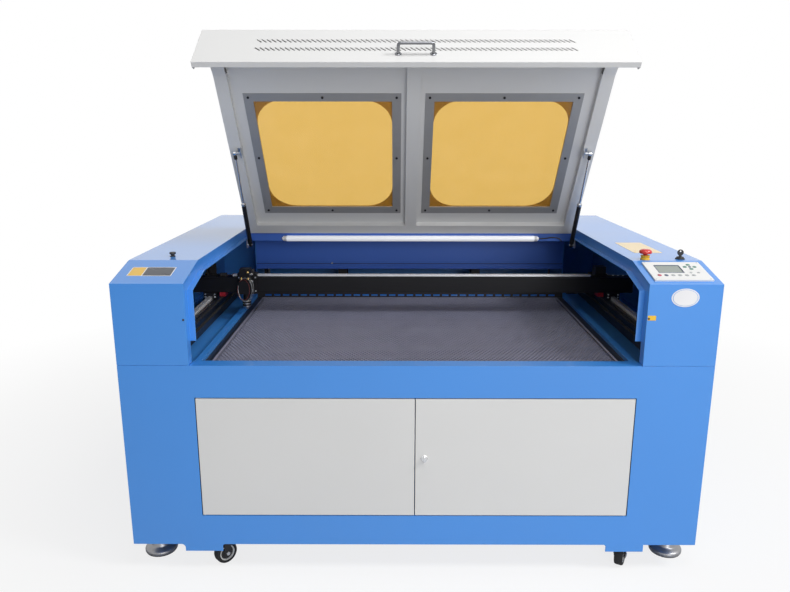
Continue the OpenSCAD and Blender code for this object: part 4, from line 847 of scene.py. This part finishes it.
def end_plates(size, radius, thick, at, edge):
    """A square plate on each side of the machine, which thickens outwards."""
    x, y, z = at
    return [slab(outline(size, size, radius), thick, (side * x, y, z), *(BACK, UP)[::side], edge)
            for side in (-1, 1)]


make("beam_end_plates", "gantry",
     {black_paint: end_plates(60, 4, 3.5, (BEAM_END, BEAM_Y, BEAM_Z), 0.6)})
plate_bolts = [(BEAM_END + 3.5, BEAM_Y + a * 20, BEAM_Z + b * 20) for a in (-1, 1) for b in (-1, 1)]
bracket_bolts = [(x, 642, z) for x in (776, 814) for z in (780, 791)]
top_bolts = [(x, 695, BEAM_TOP) for x in (806, 826, 846)]
make("gantry_screws", "gantry", {zinc: mirrored(
    screws(OUT, 3.4, 2, plate_bolts), screws(FORWARD, 3.2, 2.2, bracket_bolts),
    screws(UP, 3.4, 2.6, top_bolts))})

across, ahead = np.array((1, 1, 0)) / math.sqrt(2), np.array((1, -1, 0)) / math.sqrt(2)
spring = [(0, 0), (5.4, 0), (6, 1), (6, 6), (5.4, 7), (0, 7)]
springs = [turned_part(spring, (MIRROR_X, MIRROR_Y, BEAM_TOP + lift) + side * across - 17 * ahead, -ahead, 20)
           for side, lift in ((-16, 10), (16, 10), (-16, 42))]
terminal = [block(x, x + 8, 670, 688, BEAM_TOP, BEAM_TOP + 12, 1) for x in (-760, -751, -742)]
make("mirror_knobs", "gantry", {brass: springs, black_plastic: terminal})
make("travel_stops", "gantry",
     {belt_rubber: mirrored(rod(10, 7, (698, 663.5, BEAM_TOP + 6), OUT, 1.5))})

# %% [markdown]
# ## Toothed belts
# A timing belt has teeth on its inner side. The loop is a stadium, two straights and
# two half circles, and its inner ring of points moves in and out as the teeth pass.

# %% Belts
X_SPAN, Y_SPAN, PULLEY_R, BELT_W = 1520, 1022, 14.8, 12


def toothed_loop(span, thick=1.6, tooth=0.9, step=5.0):
    """Rings (outer, inner) x (two edges) of points on a stadium of the given span."""
    painted_edge_highlight = math.pi * PULLEY_R
    s = np.arange(0, 2 * span + 2 * painted_edge_highlight, step / 4)
    angle = np.clip((s - span) / PULLEY_R, 0, math.pi) + np.clip((s - 2 * span - painted_edge_highlight) / PULLEY_R, 0, math.pi)
    along = np.clip(s, 0, span) - np.clip(s - span - painted_edge_highlight, 0, span)
    side = np.stack([np.sin(angle), -np.cos(angle)], -1)
    middle = np.stack([along, np.zeros_like(along)], -1)
    depth = tooth * ((np.arange(len(s)) % 4) < 2)
    outer, inner = middle + side * (PULLEY_R + thick), middle + side * (PULLEY_R + 0.5 - depth)[:, None]
    rings = [raised(flat, side * BELT_W / 2)
             for flat, side in ((inner, -1), (outer, -1), (outer, 1), (inner, 1))]
    return grid(np.stack(rings), ring=True)


x_loop, loop_faces = toothed_loop(X_SPAN)
make("x_timing_belt", "gantry",
     {belt_rubber: [(x_loop + (-X_SPAN / 2, 732, BEAM_Z), loop_faces)]}, ["x_belt"])
y_loop, loop_faces = toothed_loop(Y_SPAN)
y_loop = y_loop[:, [2, 0, 1]] + (748, 44, 764)
make("y_timing_belts", "base", {belt_rubber: mirrored((y_loop, loop_faces))}, ["y_belts"])

# %% [markdown]
# ## Lamp
# The lamp is a milky tube with white end caps on two clips, and a lead that goes from
# its right end into the sheet. The lead's route is a few points, eased into a curve.

# %% Lamp
LAMP_Y, LAMP_Z, LAMP_HALF = 922, 971, 528


def looped(points, radius, square_to=BACK):
    """A thin flexible part on an eased path through the given points."""
    return carried(eased(points, 4), radius, square_to, 10)


lamp_cap = [(0, 0.2), (11, 0.2), (11.5, 1), (11.5, 12), (10.5, 14), (6, 15), (6, 20), (0, 20)]
clips = [block(x - 7, x + 7, LAMP_Y + 11, 938, LAMP_Z - 9, LAMP_Z + 9, 2) for x in (-320, 320)]
lead_steps = ((18, 0), (50, 0), (74, 6), (108, 2), (118, -12))
lamp_lead = looped([(LAMP_HALF + dx, LAMP_Y, LAMP_Z + dz) for dx, dz in lead_steps], 2.4)
make("lamp_fittings", "base", {
    label_white: mirrored(turned_part(lamp_cap, (LAMP_HALF, LAMP_Y, LAMP_Z), OUT, 28)) + clips,
    black_plastic: [lamp_lead]})

# %% [markdown]
# ## Laser tube
# The laser is a glass tube inside a glass water jacket, with a coiled return pipe, a
# metal cap on each end, and two silicone hoses that bow over and go down into the bay.

# %% Laser tube
LASER_Y, LASER_Z, TUBE_HALF = 1220, 866, 625
outer_glass = both_ways([(0, TUBE_HALF), (24, TUBE_HALF), (36, TUBE_HALF - 8), (40, TUBE_HALF - 24)])
core = both_ways([(0, TUBE_HALF - 30), (9, TUBE_HALF - 30)])
coil_t = np.linspace(0, 2 * np.pi * 26, 700)
coil = np.stack([np.linspace(-560, -330, 700), LASER_Y + 24 * np.cos(coil_t),
                 LASER_Z + 24 * np.sin(coil_t)], -1)
end_cap = [(0, 0), (22, 0), (24, 2), (24, 12), (18, 14), (18, 22), (0, 22)]
hose_steps = ((560, 36), (560, 74), (600, 84), (656, 60), (664, -60), (664, -147))
tube_hoses = [looped([(side * x, LASER_Y - 6, LASER_Z + dz) for x, dz in hose_steps], 5) for side in (-1, 1)]
make("laser_glass", "base", {
    glass.mat: [turned_part(outer_glass, (0, LASER_Y, LASER_Z), OUT, 48)],
    turned: mirrored(turned_part(end_cap, (TUBE_HALF, LASER_Y, LASER_Z), OUT))}, ["laser_tube"])
make("laser_core", "base", {
    label_white: [turned_part(core, (0, LASER_Y, LASER_Z), OUT, 24)],
    clear_hose: [carried(coil, 3, OUT, 8), *tube_hoses]})

# %% [markdown]
# ## Back wall, supplies and motors
# A black strip with one screw runs along the inner back wall, the painted shadow of a fold
# in the sheet. The supply box has vents and terminals, the controller a row of parts, and
# the drive an end plate and a lead a side.

# %% Inside pieces
DRIVE_Y, BELT_Z = 1066, 764
# Painted shade: a thin black strip where the shadow of the wall's fold line falls.
fold_shadow_strip = block(-697, 697, 1088.6, 1089.9, 829, 831.2, 0.5, 0.3)
make("wall_fold_shadow", "base",
     {black_paint: [fold_shadow_strip], chrome: [screws(FORWARD, 5, 4, [(-352, 1089, 833)])]})
vents = [block(392 + 14 * k, 398 + 14 * k, 985, 1215, 282, 283.2, 2.5, 0.4) for k in range(9)]
terminals = [block(400 + 13 * k, 410 + 13 * k, 958, 970, 150, 172, 1) for k in range(9)]
board_parts = [block(160 + 30 * k, 180 + 30 * k, 1000, 1060, 212, 226, 2) for k in range(5)]
lid_rows = [(x, y, 282) for x in (390, 528) for y in (976, 1224)]
make("supply_details", "base", {
    black_plastic: vents, green_key: terminals + board_parts, zinc: [screws(UP, 3, 1.6, lid_rows)]})
drop_steps = ((20, 28), (20, 52), (40, 70), (60, 84))
motor_leads = mirrored(looped([(880, DRIVE_Y - dy, BELT_Z - dz) for dy, dz in drop_steps], 3, OUT))
make("motor_caps", "base",
     {zinc: end_plates(56, 5, 6, (887, DRIVE_Y, BELT_Z), 1), black_plastic: motor_leads})

# %% [markdown]
# ## Ducts and mains inlet
# Each exhaust collar is a thin tube with two rolled beads that hold a hose, and six
# bolts round its flange. The mains inlet has three brass pins between two bolts.

# %% Back pieces
DUCT_X, DUCT_Z, DUCT_END, BOLT_RING, PLATE_Y = 303.6, 581, 1450, 88, 1393
bead = [(73.2, 0), (76.5, 0), (77.5, 1.5), (76.5, 3), (75.2, 3), (75.2, 6), (73.2, 6)]
beads = [turned_part(bead, (side * DUCT_X, DUCT_END - back, DUCT_Z), FORWARD, 64, ring=True)
         for side in (-1, 1) for back in (0, 14)]
flange_bolts = [(side * DUCT_X + x, PLATE_Y, DUCT_Z + z)
                for side in (-1, 1) for x, z in circle(6, 30) * BOLT_RING]
make("duct_fittings", "base", {zinc: [*beads, screws(BACK, 3.4, 2, flange_bolts)]})
pins = [block(x - 1.5, x + 1.5, 1379, 1390, z - 3, z + 3, 0.6, 0.4)
        for x, z in ((-777, 268), (-770, 273), (-763, 268))]
inlet_bolts = screws(BACK, 3, 1.6, [(x, PLATE_Y, 270) for x in (-798, -742)])
make("inlet_pins", "base", {brass: pins, zinc: [inlet_bolts]})

# %% [markdown]
# ## Finishes onto the CAD solids
# Each solid already has its place and shape. Its material slots are pointed at the
# finish that the real part has, except three copies with light or shade painted in: a lighter
# pale coat on the lid, a darker chrome for the pull's dark reflections, and a darker blue
# for the shade on the inner back wall and cross channel.

# %% Assign
finish_of = {
    blue: "base_shell rear_panel left_cabinet right_cabinet inner_deck louvre_panels",
    shaded_blue: "cross_channel inner_back_wall",
    pale: "left_door right_door tube_cover",
    lid_painted_light_pale: "lid",
    frame_grey: "base_frame",
    black_paint: "bed_frame window_screws y_rail_beams y_motor strut_tubes x_motor front_left_fork "
                 "front_right_fork",
    cabinet_grey: "electronics",
    black_anodised: "gantry_beam gantry_carriages laser_head second_mirror",
    red_anodised: "belt_clamps",
    rail_steel: "y_guide_rails x_guide_rail y_drive_shaft",
    zinc: "exhaust_ducts castor_mounts levelling_feet strut_brackets hinge_pins strut_studs",
    frame_steel: "window_frames",
    chrome_painted_dark_reflection: "lid_handle",
    chrome: "strut_rods door_lock",
    turned: "x_drive_pulley x_idler_pulley lens_tube y_idler_pulleys",
    honeycomb_metal: "honeycomb_bed",
    belt_rubber: "y_belts x_belt",
    tread_rubber: "front_left_wheel front_right_wheel rear_wheels",
    lamp_glow.mat: "work_lamp",
    glass.mat: "laser_tube",
    black_plastic: "tube_supports power_inlet key",
    white_plastic: "control_panel",
    screen_glass.mat: "control_screen",
    yellow_plastic: "switch_bodies",
    red_plastic: "estop_button",
    amber.mat: "lid_windows",
}
for finish, names in finish_of.items():
    for name in names.split():
        for material_slot in nodes[name].material_slots:
            material_slot.material = finish
left_over = set(nodes) - set(" ".join(finish_of.values()).split())
print("finishes given; without one:", left_over or "none")

# %% [markdown]
# ## Studio
# A pale floor and a white surround, lit softly from above and in front. The floor shows
# the machine's own shadow. The white is what the camera sees, not light on the machine:
# a Light Path node lets the surround be white to the camera, and dimmer as a lamp.

# %% Floor, world and lamps
floor_mesh = bpy.data.meshes.new("studio_floor")
floor_mesh.from_pydata([(-40, -40, 0), (40, -40, 0), (40, 40, 0), (-40, 40, 0)], [], [(0, 1, 2, 3)])
studio_floor = bpy.data.objects.new("studio_floor", floor_mesh)
link(studio_floor)
ground = Finish("studio_floor_paint", (0.9, 0.9, 0.9), Roughness=0.9, Specular_IOR_Level=0.1)
soft = ground.noise(1.5)
ground.set(Base_Color=ground.mix(soft, (0.80, 0.80, 0.80, 1), (0.83, 0.83, 0.83, 1)))


def white_rays(tree, *kinds):
    """1 for the given kinds of ray and 0 for the rest."""
    path = tree.nodes.new("ShaderNodeLightPath")
    last = path.outputs[kinds[0]]
    for kind in kinds[1:]:
        either = tree.nodes.new("ShaderNodeMath")
        either.operation = "MAXIMUM"
        tree.links.new(last, either.inputs[0])
        tree.links.new(path.outputs[kind], either.inputs[1])
        last = either.outputs[0]
    return last


white = ground.node("Emission", None, {"Color": (1, 1, 1, 1), "Strength": 1.0})
reach = ground.node("VectorMath", dict(operation="LENGTH"), {0: ground.place()}, "Value")
faded = ground.node("MapRange", None, {"Value": reach, "From Min": 1.3, "From Max": 3.2, "To Min": 0.80})
seen = Val(ground, white_rays(ground.tree, "Is Camera Ray", "Is Transmission Ray")) * faded
matt = Val(ground, ground.shader.outputs[0])
blend = ground.node("MixShader", None, {0: seen, 1: matt, 2: white})
ground.tree.links.new(blend.socket, ground.tree.nodes["Material Output"].inputs[0])
floor_mesh.materials.append(ground.mat)

world = bpy.data.worlds.new("studio")
bpy.context.scene.world = world
world.use_nodes = True
sky = world.node_tree
level = sky.nodes.new("ShaderNodeMapRange")
level.inputs["To Min"].default_value = 0.25
sky.links.new(white_rays(sky, "Is Camera Ray", "Is Glossy Ray", "Is Transmission Ray"), level.inputs["Value"])
sky.links.new(level.outputs[0], sky.nodes["Background"].inputs["Strength"])
sky.nodes["Background"].inputs["Color"].default_value = (1, 1, 1, 1)


def soft_lamp(name, where, aim, size, watts):
    lamp = bpy.data.objects.new(name, bpy.data.lights.new(name, "AREA"))
    lamp.data.shape = "DISK"
    lamp.data.size, lamp.data.energy = size, watts
    lamp.location = where
    lamp.rotation_euler = (Vector(aim) - Vector(where)).to_track_quat("-Z", "Y").to_euler()
    link(lamp)


soft_lamp("key_lamp", (4.2, -2.4, 4.8), (0, 0, 0.7), 1.6, 195)
soft_lamp("top_lamp", (0.6, -2.2, 4.4), (-0.3, -0.2, 0.7), 1.8, 44)
soft_lamp("fill_lamp", (2.0, -6.8, 2.2), (0, 0, 0.8), 3.0, 128)
print("studio ready")
